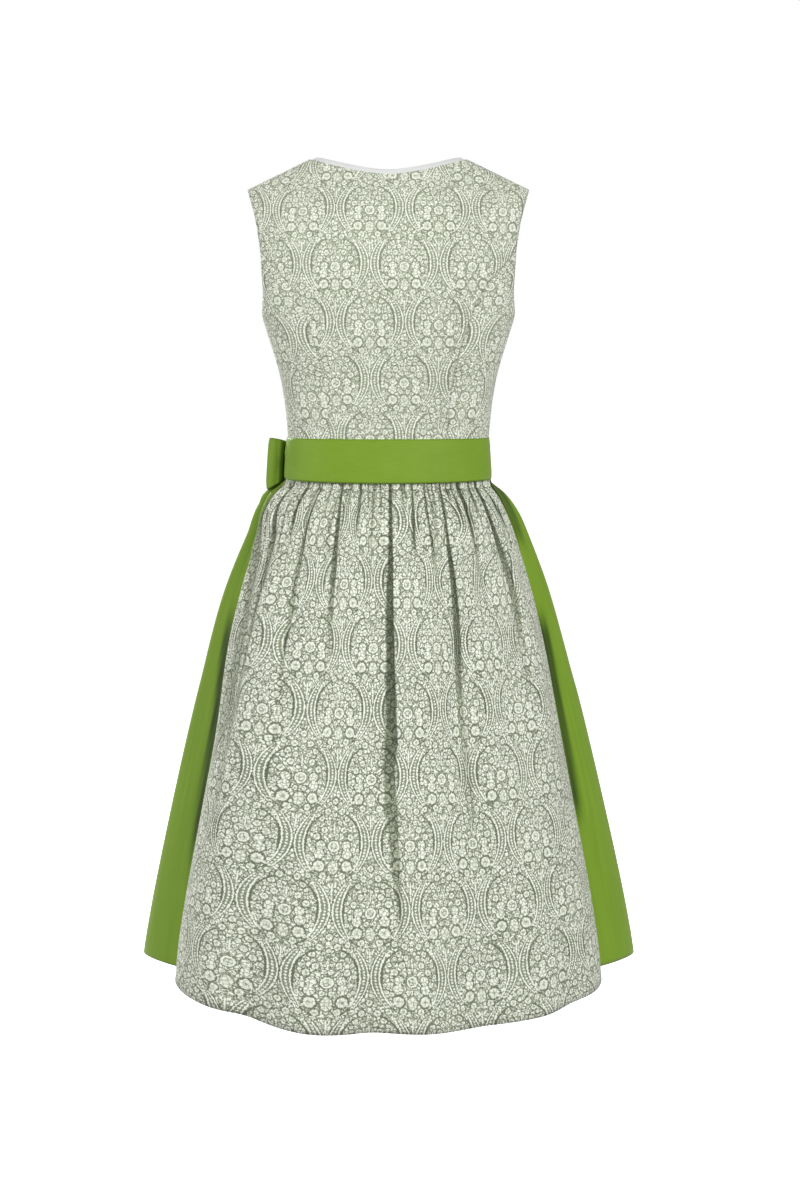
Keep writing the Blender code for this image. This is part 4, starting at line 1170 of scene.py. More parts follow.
def skirt_section(angle, z):
    """Point of the skirt's plain section and its outward direction, both level."""
    half = along(SKIRT, z, "half_width")
    flare = (half - SKIRT_WAIST) / (SKIRT_HEM_HALF - SKIRT_WAIST)
    turn = math.radians(angle)
    half += along(LEFT_FULLNESS, z, "extra") * smooth(0.3, 0.9, math.sin(turn))
    shift = SKIRT_HEM_SHIFT * flare
    if math.cos(turn) > 0:
        depth = mix(SKIRT_WAIST_BACK, SKIRT_HEM_BACK, flare) - shift
    else:
        depth = mix(SKIRT_WAIST_FRONT, SKIRT_HEM_FRONT, flare) + shift
    x = half * squarish(math.sin(turn), SKIRT_ROUNDNESS)
    y = depth * squarish(math.cos(turn), SKIRT_ROUNDNESS)
    outward = Vector((math.sin(turn) / half, math.cos(turn) / depth, 0)).normalized()
    return Vector((x, y + shift, z)), outward


def fold_strength(fold, z):
    """The fold's centre angle and its share of its full depth at a height."""
    down = (fold.z_top - z) / (fold.z_top - fold.z_end)
    if not 0 < down < 1:
        return 0.0, 0.0
    return (mix(fold.angle_top, fold.angle_hem, down),
            smooth(0, FOLD_GROWN, down) * smooth(1, FOLD_FADING, down))


def fold_push(folds, angle, z):
    """How far the folds press the cloth in; beside a valley it swells a little."""
    depth = 0.0
    for fold in folds:
        centre, strength = fold_strength(fold, z)
        if strength:
            off = turn_between(angle, centre)
            swell = SWELL_SHARE * bell(off, fold.spread * SWELL_WIDTH)
            depth += fold.depth * strength * (bell(off, fold.spread) - swell)
    return depth


# The deepest folds close over narrow valleys, which start at the band as gathers. Each valley
# is a line of places down the back, with its width and how closed it is there, which sets both
# its depth and the painted shade on its floor.
Place = namedtuple("Place", "z angle width closed")
VALLEYS = tuple(table_of(Place, line) for line in (
    ((-0.427, -0.8, 3.0, 1.00), (-0.498, -1.0, 4.6, 1.00), (-0.573, -0.7, 8.0, 1.00),
     (-0.648, -0.9, 9.4, 1.00), (-0.718, -1.1, 11.5, 0.95), (-0.752, -1.1, 14.0, 0.85),
     (-0.787, -0.5, 13.0, 0.80), (-0.822, -1.0, 12.5, 0.70), (-0.857, -1.4, 11.5, 0.65),
     (-0.900, -2.0, 9.5, 0.60), (-0.940, -2.5, 7.0, 0.45), (-1.000, -2.9, 6.0, 0.25),
     (-1.090, -3.6, 5.0, 0.00)),
    ((-0.530, 73.5, 5.0, 0.00), (-0.565, 72.5, 7.0, 0.35), (-0.620, 71.3, 8.0, 0.45),
     (-0.690, 72.7, 9.0, 0.45), (-0.757, 74.8, 9.0, 0.35), (-0.830, 76.0, 8.0, 0.00)),
    ((-0.430, 24.4, 2.8, 1.00), (-0.467, 22.6, 3.8, 1.00), (-0.511, 21.9, 5.0, 0.90),
     (-0.549, 21.1, 6.0, 0.80), (-0.599, 20.6, 6.0, 0.50), (-0.686, 19.1, 5.0, 0.00)),
    ((-0.430, 13.8, 2.8, 0.81), (-0.462, 12.9, 3.8, 0.74), (-0.510, 13.1, 3.0, 0.00)),
    ((-0.429, 37.9, 2.4, 0.81), (-0.452, 37.6, 2.4, 0.94), (-0.488, 38.8, 3.3, 0.94),
     (-0.522, 39.2, 5.0, 0.75), (-0.557, 39.0, 5.0, 0.65), (-0.594, 38.6, 5.0, 0.55),
     (-0.629, 39.2, 5.0, 0.50), (-0.658, 39.3, 5.0, 0.40), (-0.702, 38.2, 6.0, 0.25),
     (-0.800, 39.0, 7.0, 0.20), (-0.900, 37.0, 7.0, 0.00)),
    ((-0.430, 49.4, 2.4, 0.81), (-0.449, 48.4, 2.4, 0.94), (-0.473, 48.4, 2.8, 0.81),
     (-0.510, 48.3, 3.0, 0.00)),
    ((-0.430, 66.0, 2.8, 1.00), (-0.454, 66.0, 3.3, 1.00), (-0.489, 64.2, 3.8, 1.00),
     (-0.521, 63.4, 5.0, 0.65), (-0.569, 62.9, 6.0, 0.60), (-0.612, 63.0, 6.0, 0.50),
     (-0.670, 63.2, 7.0, 0.45), (-0.716, 64.1, 8.0, 0.40), (-0.768, 65.4, 8.0, 0.35),
     (-0.839, 65.0, 7.0, 0.30), (-0.919, 62.5, 6.0, 0.00)),
    ((-0.431, 82.2, 2.4, 1.00), (-0.465, 81.0, 2.8, 1.00), (-0.500, 78.8, 2.5, 0.70),
     (-0.533, 77.2, 4.0, 0.50), (-0.600, 74.4, 4.0, 0.00)),
    ((-0.430, -12.0, 2.1, 0.94), (-0.460, -11.0, 2.8, 1.00), (-0.493, -10.4, 3.3, 1.00),
     (-0.530, -10.3, 3.0, 0.00)),
    ((-0.430, -18.6, 1.9, 0.81), (-0.454, -17.9, 2.4, 1.00), (-0.488, -17.9, 2.9, 1.00),
     (-0.526, -18.5, 4.0, 0.50), (-0.570, -18.7, 4.0, 0.00)),
    ((-0.429, -28.3, 2.1, 1.00), (-0.462, -26.9, 2.9, 1.00), (-0.501, -26.0, 3.6, 1.00),
     (-0.543, -26.0, 6.0, 1.00), (-0.580, -25.6, 7.0, 0.90), (-0.624, -24.8, 7.5, 0.85),
     (-0.674, -23.9, 7.0, 0.70), (-0.718, -23.7, 6.0, 0.45), (-0.768, -24.1, 8.0, 0.30),
     (-0.824, -24.3, 9.0, 0.30), (-0.886, -24.3, 8.0, 0.00)),
    ((-0.429, -32.5, 1.9, 0.81), (-0.445, -32.1, 1.9, 0.68), (-0.460, -32.0, 2.0, 0.00)),
    ((-0.431, -35.2, 2.1, 0.68), (-0.452, -35.9, 2.4, 1.00), (-0.471, -36.2, 2.4, 0.81),
     (-0.490, -36.3, 3.0, 0.00)),
    ((-0.431, -42.0, 2.1, 0.94), (-0.459, -41.5, 2.4, 1.00), (-0.500, -40.2, 2.5, 0.40),
     (-0.535, -39.0, 4.0, 0.35), (-0.580, -38.5, 4.0, 0.00)),
    ((-0.431, -50.2, 2.1, 0.94), (-0.452, -48.8, 2.4, 0.81), (-0.480, -48.2, 3.0, 0.00)),
    ((-0.433, -57.2, 2.1, 1.00), (-0.464, -57.1, 3.3, 1.00), (-0.495, -58.2, 4.2, 1.00),
     (-0.528, -59.8, 6.0, 0.80), (-0.566, -60.2, 6.0, 0.70), (-0.598, -59.6, 6.0, 0.55),
     (-0.643, -57.8, 6.0, 0.30), (-0.700, -57.0, 6.0, 0.00)),
    ((-0.431, -67.4, 2.1, 0.94), (-0.455, -69.2, 2.4, 1.00), (-0.474, -69.5, 2.4, 0.68),
     (-0.510, -69.8, 3.0, 0.00)),
    ((-0.430, 3.6, 2.1, 0.81), (-0.458, 2.7, 2.1, 0.54), (-0.480, 2.4, 2.0, 0.00)),
    ((-0.430, 9.7, 2.1, 0.81), (-0.451, 8.8, 2.1, 0.41), (-0.470, 8.5, 2.0, 0.00)),
    ((-0.430, -7.9, 2.1, 0.81), (-0.448, -8.3, 2.1, 0.41), (-0.460, -8.5, 2.0, 0.00)),
    ((-0.430, -23.2, 1.9, 0.81), (-0.461, -22.3, 1.9, 0.54), (-0.485, -22.0, 2.0, 0.00)),
    ((-0.430, 19.4, 2.1, 0.68), (-0.454, 18.6, 2.1, 0.54), (-0.475, 18.2, 2.0, 0.00)),
    ((-0.431, 31.2, 2.1, 0.68), (-0.456, 30.2, 2.1, 0.54), (-0.480, 29.8, 2.0, 0.00)),
))
VALLEY_DEPTH = 0.60      # a closed valley's depth, in its own widths
VALLEY_STEEP = 0.45      # its steep side's width, in those of its gentle side
VALLEY_ASIDE, VALLEY_SWELL, VALLEY_SWELL_AWAY = 0.3, 0.22, 1.4
VALLEY_TOP_Z, VALLEY_FULL_Z = -0.419, -0.425
# A valley's floor gets painted shade between these places: it starts, is full, fades and ends.
DARK_START, DARK_FULL, DARK_FADING, DARK_END = -0.58, -0.34, 0.58, 0.98   # in its widths
Valley = namedtuple("Valley", "angle width depth closed")


def valleys_at(z):
    """The valleys that cross one height, with widths turned from millimetres into degrees."""
    found = []
    for line in VALLEYS:
        if line[-1].z < z:
            angle = along(line, z, "angle")
            width = along(line, z, "width") / 1000
            closed = along(line, z, "closed") * smooth(VALLEY_TOP_Z, VALLEY_FULL_Z, z)
            degree = skirt_section(angle + 0.5, z)[0].x - skirt_section(angle - 0.5, z)[0].x
            found.append(Valley(angle, width / degree, width * VALLEY_DEPTH * closed, closed))
    return found


def valley_cut(valleys, angle):
    """How far the valleys press the cloth in and carry it under the next crest, and the painted
    shade that darkens their floors.
    """
    depth = aside = dark = 0.0
    for valley in valleys:
        off = turn_between(angle, valley.angle)
        if abs(off) < 4 * valley.width:
            floor = bell(off, valley.width * (1.0 if off > 0 else VALLEY_STEEP))
            swell = VALLEY_SWELL * bell(off + VALLEY_SWELL_AWAY * valley.width, valley.width)
            depth += valley.depth * (floor - swell)
            aside -= valley.depth * VALLEY_ASIDE * floor
            side = off / valley.width
            # painted shade across the valley's floor
            dark += (valley.closed * smooth(DARK_START, DARK_FULL, side)
                     * smooth(DARK_END, DARK_FADING, side))
    return depth, aside, dark


def hem_waves(angle, z):
    total = 0.0
    for wave in SKIRT_HEM_WAVES:
        grown = smooth(wave.z_start, SKIRT_HEM_Z, z)
        total += wave.rise * grown * bell(turn_between(angle, wave.angle), wave.spread)
    return total


print(len(SKIRT_FOLDS), "long folds,", len(SKIRT_HEM_WAVES), "waves at the hem")

# %% [markdown]
# Round crests alone look like a paper cup. What makes a gathered waist is that the gathers
# differ: sines of unrelated lengths make one deeper and the next longer, always in the same
# way, and no random numbers are needed. Each gather's valley also gets a painted shade, darker
# where the valley is deeper.

# %% Gathers
GATHER_SPREAD = 0.6      # how unevenly the gathers lie
GATHER_DEPTH = 0.0080    # depth of a gather's valley just below the band
GATHER_LENGTH = 0.062    # how far down it reaches
# Strength and sharpness of the painted shade in a gather's valley; like the depth, it is weaker at
# the back.
GATHER_SHADE, GATHER_SHADE_POWER = 1.05, 1.7
LOOSE_AT_BACK, LOOSE_START, LOOSE_FULL = 0.65, 75.0, 95.0   # gathers are flatter at the back
BACK_GATHERS, FRONT_GATHERS, APRON_GATHERS = 30, 22, 26
APRON_EDGE_ANGLE, APRON_FULL_ANGLE = 93.5, 105.0
APRON_TUCK, TUCK_TOP_Z, TUCK_FULL_Z = 0.012, -0.440, -0.600
TUCK_START_ANGLE, TUCK_END_ANGLE = 87.0, 95.0


def gather_strength(number):
    """Each gather is a little deeper or flatter than the next."""
    return 1 + 0.28 * math.sin(2.4 * number + 1.0) + 0.20 * math.sin(5.1 * number)


def gather_valley(number, z):
    """A gather's sharp valley; each one is of its own length and depth."""
    gather = math.floor(number)
    length = GATHER_LENGTH * (1 + 0.45 * math.sin(1.7 * gather + 0.6)
                              + 0.30 * math.sin(4.3 * gather))
    below = BAND_BOTTOM_Z - z
    lasting = smooth(-0.010, 0.000, below) * (1 - smooth(0.2 * length, 2.2 * length, below))
    sharp = (1 - abs(math.cos(math.pi * number))) ** 2
    return (0.8 + 0.4 * math.sin(2.4 * gather + 1.0)) * lasting * sharp


def gather_lift(number, z, strength=1.0):
    """Height of the gathered cloth: round crests between the valleys."""
    crest = along(SKIRT, z, "gather") * gather_strength(number) * 0.5
    return crest - GATHER_DEPTH * strength * gather_valley(number, z)


def tuck(z):
    return APRON_TUCK * smooth(TUCK_TOP_Z, TUCK_FULL_Z, z)


def under_apron(angle):
    return smooth(TUCK_START_ANGLE, TUCK_END_ANGLE, abs(turn_between(angle, 0)))


def spread_gathers(number, gathers, start, end, waves):
    """Angle of a place in the gathers, which lie a little unevenly."""
    share = number / gathers
    (first, first_turns), (second, second_turns) = waves
    uneven = (first * math.sin(2 * math.pi * first_turns * share)
              + second * math.sin(2 * math.pi * second_turns * share))
    return mix(start, end, (number + uneven * GATHER_SPREAD) / gathers)


def skirt_angle(number, gathers, start, end):
    return spread_gathers(number, gathers, start, end, ((0.5, 3), (0.35, 7)))


def skirt_point(number, gathers, start, end, z, valleys):
    """Point of the skirt's cloth, and the painted shade of the folds and gathers there."""
    angle = skirt_angle(number, gathers, start, end)
    base, outward = skirt_section(angle, z)
    cut, aside, dark = valley_cut(valleys, angle)
    loose = mix(LOOSE_AT_BACK, 1.0,
                smooth(LOOSE_START, LOOSE_FULL, abs(turn_between(angle, 0))))
    lift = gather_lift(number, z, loose) + hem_waves(angle, z)
    lift -= fold_push(SKIRT_FOLDS, angle, z) + cut + tuck(z) * under_apron(angle)
    # painted shade in the gather's valley
    dark += GATHER_SHADE * loose * gather_valley(number, z) ** GATHER_SHADE_POWER
    rise = (HEM_SIDE_RISE * math.sin(math.radians(angle)) ** 2
            * smooth(HEM_RISE_START, SKIRT_HEM_Z, z))
    over = Vector((outward.y, -outward.x, 0.0))
    return base + outward * lift + over * aside + Vector((0, 0, rise)), min(dark, 1.0)


print("a crest and a valley:", gather_lift(3, -0.45), gather_lift(3.5, -0.45))

# %% [markdown]
# The skirt's print is laid by angle, because the cloth was level before it was gathered.
# Where much cloth is drawn into the folds, the columns of medallions lie closer together,
# so a small table says at which angle each column runs down, at a few heights.

# %% Print on the skirt
SKIRT_STRETCH = 0.0755 / 0.0843  # the skirt's rows lie this much closer in the chart
SKIRT_FIRST_ROW = 0.1417         # cloth length from the band to the first row of medallions
COLUMN_STEP = 10.5               # degrees from one half column to the next round the front
FIRST_HALF_COLUMN = -5           # the table's first entry, in half columns from the middle
RIGHT_FLANK, LEFT_FLANK = 1.3, 1.5   # how much wider the columns lie beyond the table
PrintLine = namedtuple("PrintLine", "z angles")
PRINT_LINES = table_of(PrintLine, (
    (-0.478, (-80.0, -66.2, -50.4, -38.7, -21.9, -8.5, 6.3, 16.5, 29.5, 42.5, 57.5)),
    (-0.554, (-66.0, -50.2, -37.8, -28.2, -16.8, -6.4, 5.0, 16.1, 28.8, 43.6, 65.4)),
    (-0.633, (-62.4, -47.9, -36.8, -24.9, -16.2, -5.8, 4.4, 15.4, 27.2, 45.4, 67.4)),
    (-0.714, (-70.2, -48.1, -36.5, -24.4, -15.7, -5.6, 4.3, 14.8, 26.7, 45.8, 67.2)),
    (-0.800, (-62.4, -48.0, -36.2, -23.9, -15.3, -5.5, 4.3, 14.2, 26.2, 46.2, 67.0)),
    (-0.960, (-62.2, -47.4, -34.8, -23.5, -13.8, -5.3, 3.9, 13.6, 27.2, 47.0, 66.0)),
))
Column = namedtuple("Column", "angle index")


def print_columns(z):
    """The columns' angles at one height, and two more beyond each side."""
    z = min(max(z, PRINT_LINES[-1].z), PRINT_LINES[0].z)
    low = 0
    while low < len(PRINT_LINES) - 2 and z < PRINT_LINES[low + 1].z:
        low += 1
    before, after = PRINT_LINES[low], PRINT_LINES[low + 1]
    share = smooth(before.z, after.z, z)
    angles = [mix(a, b, share) for a, b in zip(before.angles, after.angles)]
    first, last = angles[0], angles[-1]
    right, left = COLUMN_STEP * RIGHT_FLANK, COLUMN_STEP * LEFT_FLANK
    angles = [first - 2 * right, first - right] + angles + [last + left, last + 2 * left]
    return tuple(Column(angle, (FIRST_HALF_COLUMN - 2 + step) / 2)
                 for step, angle in enumerate(angles))


def skirt_u(angle, columns):
    """Flat coordinate across the skirt; it runs on evenly round the front."""
    from_back = turn_between(angle, 0.0)
    low, high = columns[0], columns[-1]
    if low.angle < from_back < high.angle and angle <= 90:
        return along(columns, from_back, "index") * MEDALLION_WIDTH / 1000
    side = high if angle > 0 else low
    return (side.index + (angle - side.angle) / (2 * COLUMN_STEP)) * MEDALLION_WIDTH / 1000


def plain_length(z):
    """Cloth length from the band's lower edge down the skirt's plain form at the back."""
    steps = 24
    heights = [mix(BAND_BOTTOM_Z, z, step / steps) for step in range(steps + 1)]
    return lengths_across([skirt_section(0.0, height)[0] for height in heights])[-1]


def row_heights(heights, rows):
    """Heights of the fine rows: closer together near the band, where the gathers are."""
    return [between(heights, share * (len(heights) - 1) / rows) for share in range(rows + 1)]


SKIRT_HEIGHTS = (WAIST_Z, BAND_BOTTOM_Z, -0.445, -0.464, -0.490, -0.525, -0.570, -0.625, -0.690,
                 -0.765, -0.850, -0.935, -1.020, SKIRT_HEM_Z)


def make_skirt(name, gathers, columns_each, rows, start, end):
    """One width of the skirt, with so many gathers between two angles."""
    numbers = [column / columns_each for column in range(gathers * columns_each + 1)]
    points, flat, shades = [], [], []
    for z in row_heights(SKIRT_HEIGHTS, rows):
        below = plain_length(z) if z < BAND_BOTTOM_Z else BAND_BOTTOM_Z - z
        v = -(below - SKIRT_FIRST_ROW) * SKIRT_STRETCH
        lines, valleys = print_columns(z), valleys_at(z)
        row = [skirt_point(number, gathers, start, end, z, valleys) for number in numbers]
        points.append([point for point, _ in row])
        shades.append([dark for _, dark in row])
        flat.append([(skirt_u(skirt_angle(number, gathers, start, end), lines), v)
                     for number in numbers])
    piece = cover(name, points, skirt_cotton, flat, shades)
    print(name, "has", len(piece.data.polygons), "faces")
    return piece


skirt_back = make_skirt("skirt_back", BACK_GATHERS, columns_each=15, rows=98,
                        start=-90, end=90)
skirt_front = make_skirt("skirt_front", FRONT_GATHERS, columns_each=13, rows=104,
                         start=90, end=270)

# %% [markdown]
# ## The apron
#
# It is one width of green satin cotton, gathered to its waistband, which reaches round to
# both sides and leaves the printed skirt bare at the back. It stands off the skirt, and its
# two side edges fall close to it.

# %% Apron panel
APRON_HEM_Z, APRON_TOP_Z = -1.080, -0.4225
APRON_EDGE_DROP, APRON_EDGE_STAND = 0.006, 0.0030
APRON_FRONT_SHARE, APRON_EDGE_GATHER = 0.62, 0.15
APRON_GATHER_STRENGTH, APRON_CREST = 0.7, 0.6
APRON_FRONT_ANGLE = 165.0    # from here round the front it stands off as far as it ever does
Apron = namedtuple("Apron", "z stand_off gather")
APRON = table_of(Apron, (
    (APRON_HEM_Z, 0.0658, 0.0004), (-0.974, 0.0601, 0.0006), (-0.725, 0.0436, 0.0012),
    (-0.677, 0.0390, 0.0015), (-0.589, 0.0317, 0.0021), (-0.515, 0.0245, 0.0028),
    (-0.470, 0.0200, 0.0030), (-0.450, 0.0165, 0.0024), (-0.440, 0.0130, 0.0016),
    (-0.433, 0.0085, 0.0008), (-0.428, 0.0040, 0.0003), (APRON_TOP_Z, 0.0008, 0.0),
))
APRON_FOLDS = table_of(Fold, (
    (105.0, 104.0, -0.440, -1.060, -0.0065, 7.0), (119.0, 115.0, -0.436, -1.060, 0.0050, 3.6),
    (131.0, 127.0, -0.436, -1.060, 0.0090, 4.4), (155.0, 152.0, -0.436, -1.060, 0.0070, 4.2),
    (173.0, 176.0, -0.436, -1.060, 0.0110, 4.6), (199.0, 203.0, -0.436, -1.060, 0.0080, 4.2),
    (224.0, 229.0, -0.436, -1.060, 0.0100, 4.6), (246.0, 248.0, -0.436, -1.060, 0.0060, 4.0),
    (255.0, 255.0, -0.436, -0.760, 0.0055, 5.5),
    (100.0, 102.0, -0.4235, -0.4620, -0.0130, 10.0),
    (258.0, 256.0, -0.4235, -0.7000, -0.0050, 10.0),
    (100.0, 102.0, -0.470, -0.720, -0.0045, 10.0),
))
APRON_HEIGHTS = (
    APRON_TOP_Z, -0.428, -0.435, -0.448, -0.468, -0.496, -0.530, -0.575, -0.630, -0.700,
    -0.780, -0.870, -0.960, -1.030, APRON_HEM_Z,
)


def apron_edge_share(angle):
    """0 at the apron's side edges, 1 where it stands off fully."""
    from_back = abs(turn_between(angle, 0))
    reach = (from_back - APRON_EDGE_ANGLE) / (APRON_FULL_ANGLE - APRON_EDGE_ANGLE)
    return math.sin(math.pi / 2 * min(max(reach, 0.0), 1.0)) ** 0.9


def apron_base(angle, z):
    base, outward = skirt_section(angle, z)
    full = along(APRON, z, "stand_off")
    edge = min(full, APRON_EDGE_STAND) - tuck(z)
    to_front = smooth(APRON_FULL_ANGLE, APRON_FRONT_ANGLE, abs(turn_between(angle, 0)))
    full = mix(full, mix(edge, full, APRON_FRONT_SHARE), to_front)
    return base + outward * mix(edge, full, apron_edge_share(angle)), outward


def apron_point(number, z):
    angle = spread_gathers(number, APRON_GATHERS, APRON_EDGE_ANGLE, 360 - APRON_EDGE_ANGLE,
                           ((0.5, 2), (0.4, 5)))
    base, outward = apron_base(angle, z)
    gather = along(APRON, z, "gather") * math.cos(2 * math.pi * number)
    edge_share = apron_edge_share(angle)
    lift = (gather_lift(number, z, APRON_GATHER_STRENGTH) + gather * APRON_CREST
            - fold_push(APRON_FOLDS, angle, z))
    drop = APRON_EDGE_DROP * (1 - edge_share) * smooth(HEM_RISE_START, APRON_HEM_Z, z)
    return base + outward * lift * mix(APRON_EDGE_GATHER, 1.0, edge_share) - Vector((0, 0, drop))


APRON_ROWS, APRON_COLUMNS_EACH = 104, 12
apron_heights = row_heights(APRON_HEIGHTS, APRON_ROWS)
apron_numbers = [column / APRON_COLUMNS_EACH
                 for column in range(APRON_GATHERS * APRON_COLUMNS_EACH + 1)]
apron_points = [[apron_point(number, z) for number in apron_numbers] for z in apron_heights]
print("apron's side edges are", round(apron_points[-1][0].x * 2, 3), "m apart at the hem")

# %% [markdown]
# Where an edge of the apron runs close behind the skirt's flank, hardly any light gets into
# the narrow gap. The apron is darkened in a strip just past the skirt's own reach, between
# the heights at which the two come close and part again.

# %% Shade in the gap beside the skirt
GAP_FULL, GAP_END = 0.0085, 0.0145       # the strip's width beyond the skirt's reach
GAP_BEHIND, GAP_SEEN = -0.0040, 0.0020   # and how it starts behind the skirt
GAP_EDGE_FULL, GAP_EDGE_END = 0.045, 0.060   # it stays this near the apron's edge
# Painted shade in the apron's own gather valleys.
APRON_VALLEY_SHADE = 0.6
REACH_STEPS = 50
Gap = namedtuple("Gap", "start full last end strength")
LEFT_GAPS = (Gap(-0.575, -0.650, -0.880, -0.980, 1.0),)
RIGHT_GAPS = (Gap(-0.585, -0.640, -0.850, -0.910, 1.0), Gap(-0.425, -0.435, -0.490, -0.530, 0.7))


def closeness(gaps, z):
    return sum(gap.strength * smooth(gap.start, gap.full, z) * smooth(gap.end, gap.last, z)
               for gap in gaps)


def skirt_reach(z, first, last):
    """How far the skirt reaches to the side at one height, over a share of its gathers."""
    valleys = valleys_at(z)
    numbers = [mix(first, last, step / REACH_STEPS) * BACK_GATHERS
               for step in range(REACH_STEPS + 1)]
    return max(abs(skirt_point(number, BACK_GATHERS, -90, 90, z, valleys)[0].x)
               for number in numbers)


def gap_shade(point, from_edge, close, reach):
    beyond = abs(point.x) - reach
    return (close * smooth(GAP_END, GAP_FULL, beyond) * smooth(GAP_BEHIND, GAP_SEEN, beyond)
            * smooth(GAP_EDGE_END, GAP_EDGE_FULL, from_edge))


apron_edges = edge_map(apron_points)
apron_shades = []
for row, z in enumerate(apron_heights):
    left = closeness(LEFT_GAPS, z), skirt_reach(z, 0.8, 1.0)
    right = closeness(RIGHT_GAPS, z), skirt_reach(z, 0.0, 0.2)
    apron_shades.append([
        min(APRON_VALLEY_SHADE * gather_valley(number, z)
            + gap_shade(point, edge[0], *(left if point.x > 0 else right)), 1.0)
        for number, point, edge in zip(apron_numbers, apron_points[row], apron_edges[row])])
apron_piece = cover("apron_panel", apron_points, apron_satin,
                    shades=apron_shades)
print("apron panel:", len(apron_piece.data.polygons), "faces")

# %% [markdown]
# ## Waistband and tie
#
# The band covers the waist seam from the front to both sides. The tie leaves its right end,
# runs round the back, and passes over its left end to the bow. Both are folded strips, so
# their long edges are round, and the gathers below push their lower edge into faint ripples.

# %% Band and tie
Band = namedtuple("Band", "z half_width back front")
BAND = table_of(Band, (
    (BAND_BOTTOM_Z, 0.1388, 0.0868, 0.1018), (BAND_TOP_Z, 0.1351, 0.0828, 0.1020),
))
STRIP_TOP_Z, STRIP_BOTTOM_Z, STRIP_SIDE_RISE = -0.3687, -0.4268, 0.0026
STRIP_CROWN, STRIP_TURN_IN = 0.0011, 0.0004
STRIP_RIPPLE, RIPPLE_REACH = 0.0003, 0.75    # the ripples reach this share of the way up
WALL = 0.0012            # thickness of the solids' walls
STRIP_CLOTH = 0.0009     # a folded strip is a little thicker than one layer
TIE_LIFT = 0.001725      # the tie lies this far over the band's end
TIE_LIFT_START, TIE_LIFT_END = APRON_EDGE_ANGLE - 7, APRON_EDGE_ANGLE - 2
TIE_END_ANGLE = 136.0
TIE_NARROW_START, TIE_NARROW_END, TIE_NARROW = 117.0, 131.0, 0.5


def band_point(angle, z, out=0.0):
    half = along(BAND, z, "half_width") + out
    turn = math.radians(angle)
    depth = along(BAND, z, "back" if math.cos(turn) > 0 else "front") + out
    return Vector((half * squarish(math.sin(turn), BACK_ROUNDNESS),
                   depth * squarish(math.cos(turn), BACK_ROUNDNESS), z))


def strip_crown(up):
    """A folded strip stands out along its middle and turns in at both edges."""
    return STRIP_CROWN * (1 - abs(2 * up - 1) ** 6) - STRIP_TURN_IN


def strip_ripple(angle, up):
    """Faint ripples that the gathers press into the strip from below."""
    fine = 0.55 * math.sin(angle * 0.95 + 2.0 * math.sin(angle * 0.21))
    broad = 0.45 * math.sin(angle * 0.37)
    return STRIP_RIPPLE * (fine + broad) * smooth(RIPPLE_REACH, 0.0, up)


def strip_z(angle, up):
    """Height within the band; its lower edge is drawn up a little at the sides."""
    return mix(STRIP_BOTTOM_Z + STRIP_SIDE_RISE * math.sin(math.radians(angle)) ** 2,
               STRIP_TOP_Z, up)


CREASE_WIDTH = 0.09      # share of the tie's width
Crease = namedtuple("Crease", "angle up length height slant")
TIE_CREASES = table_of(Crease, (
    (-52.0, 0.30, 16.0, 0.0007, 0.020), (-20.0, 0.62, 14.0, 0.0005, -0.015),
    (12.0, 0.40, 18.0, 0.0007, 0.012), (48.0, 0.66, 15.0, 0.0006, -0.018),
    (72.0, 0.38, 14.0, 0.0008, 0.020), (100.0, 0.55, 16.0, 0.0011, -0.010),
    (114.0, 0.34, 12.0, 0.0013, 0.014), (118.0, 0.68, 12.0, 0.0012, -0.014),
))


def tie_creases(angle, up):
    total = 0.0
    for crease in TIE_CREASES:
        run = turn_between(angle, crease.angle)
        off = up - crease.up - crease.slant * run
        total += crease.height * bell(run, crease.length) * bell(off, CREASE_WIDTH)
    return total


def band_place(up, over):
    angle = mix(APRON_EDGE_ANGLE, 360 - APRON_EDGE_ANGLE, over)
    out = strip_crown(up) + strip_ripple(angle, up)
    return band_point(angle, strip_z(angle, up), out)


def tie_place(up, over):
    angle = mix(-APRON_EDGE_ANGLE, TIE_END_ANGLE, over)
    width = mix(1.0, TIE_NARROW, smooth(TIE_NARROW_START, TIE_NARROW_END, angle))
    z = mix(BAND_MIDDLE_Z, strip_z(angle, up), width)
    out = TIE_LIFT * smooth(TIE_LIFT_START, TIE_LIFT_END, angle) + strip_crown(up)
    return band_point(angle, z, out + strip_ripple(angle, up) * width + tie_creases(angle, up))


def add_strip(node, points, shades=None, flip=True):
    return cover(node, points, green_satin, shades=shades, flip=flip,
                 thick=STRIP_CLOTH)


band_piece = add_strip("apron_waistband", grid_points(band_place, 20, 240))
tie_piece = add_strip("apron_tie", grid_points(tie_place, 24, 330))
print("band and tie:", len(band_piece.data.polygons) + len(tie_piece.data.polygons), "faces")

# %% [markdown]
# ## The bow
#
# A knot, two loops and two hanging tails, all of the same strip. The knot is a rounded pad
# that the strip was pulled tight over, so creases slant across it.

# %% Knot
KNOT_ANGLE, KNOT_HALF_ANGLE, KNOT_HALF_HEIGHT = 140.0, 6.0, 0.015
KNOT_BASE, KNOT_RISE, KNOT_CREASE = 0.0025, 0.013, 0.0007
KNOT_SQUARENESS = 2.6


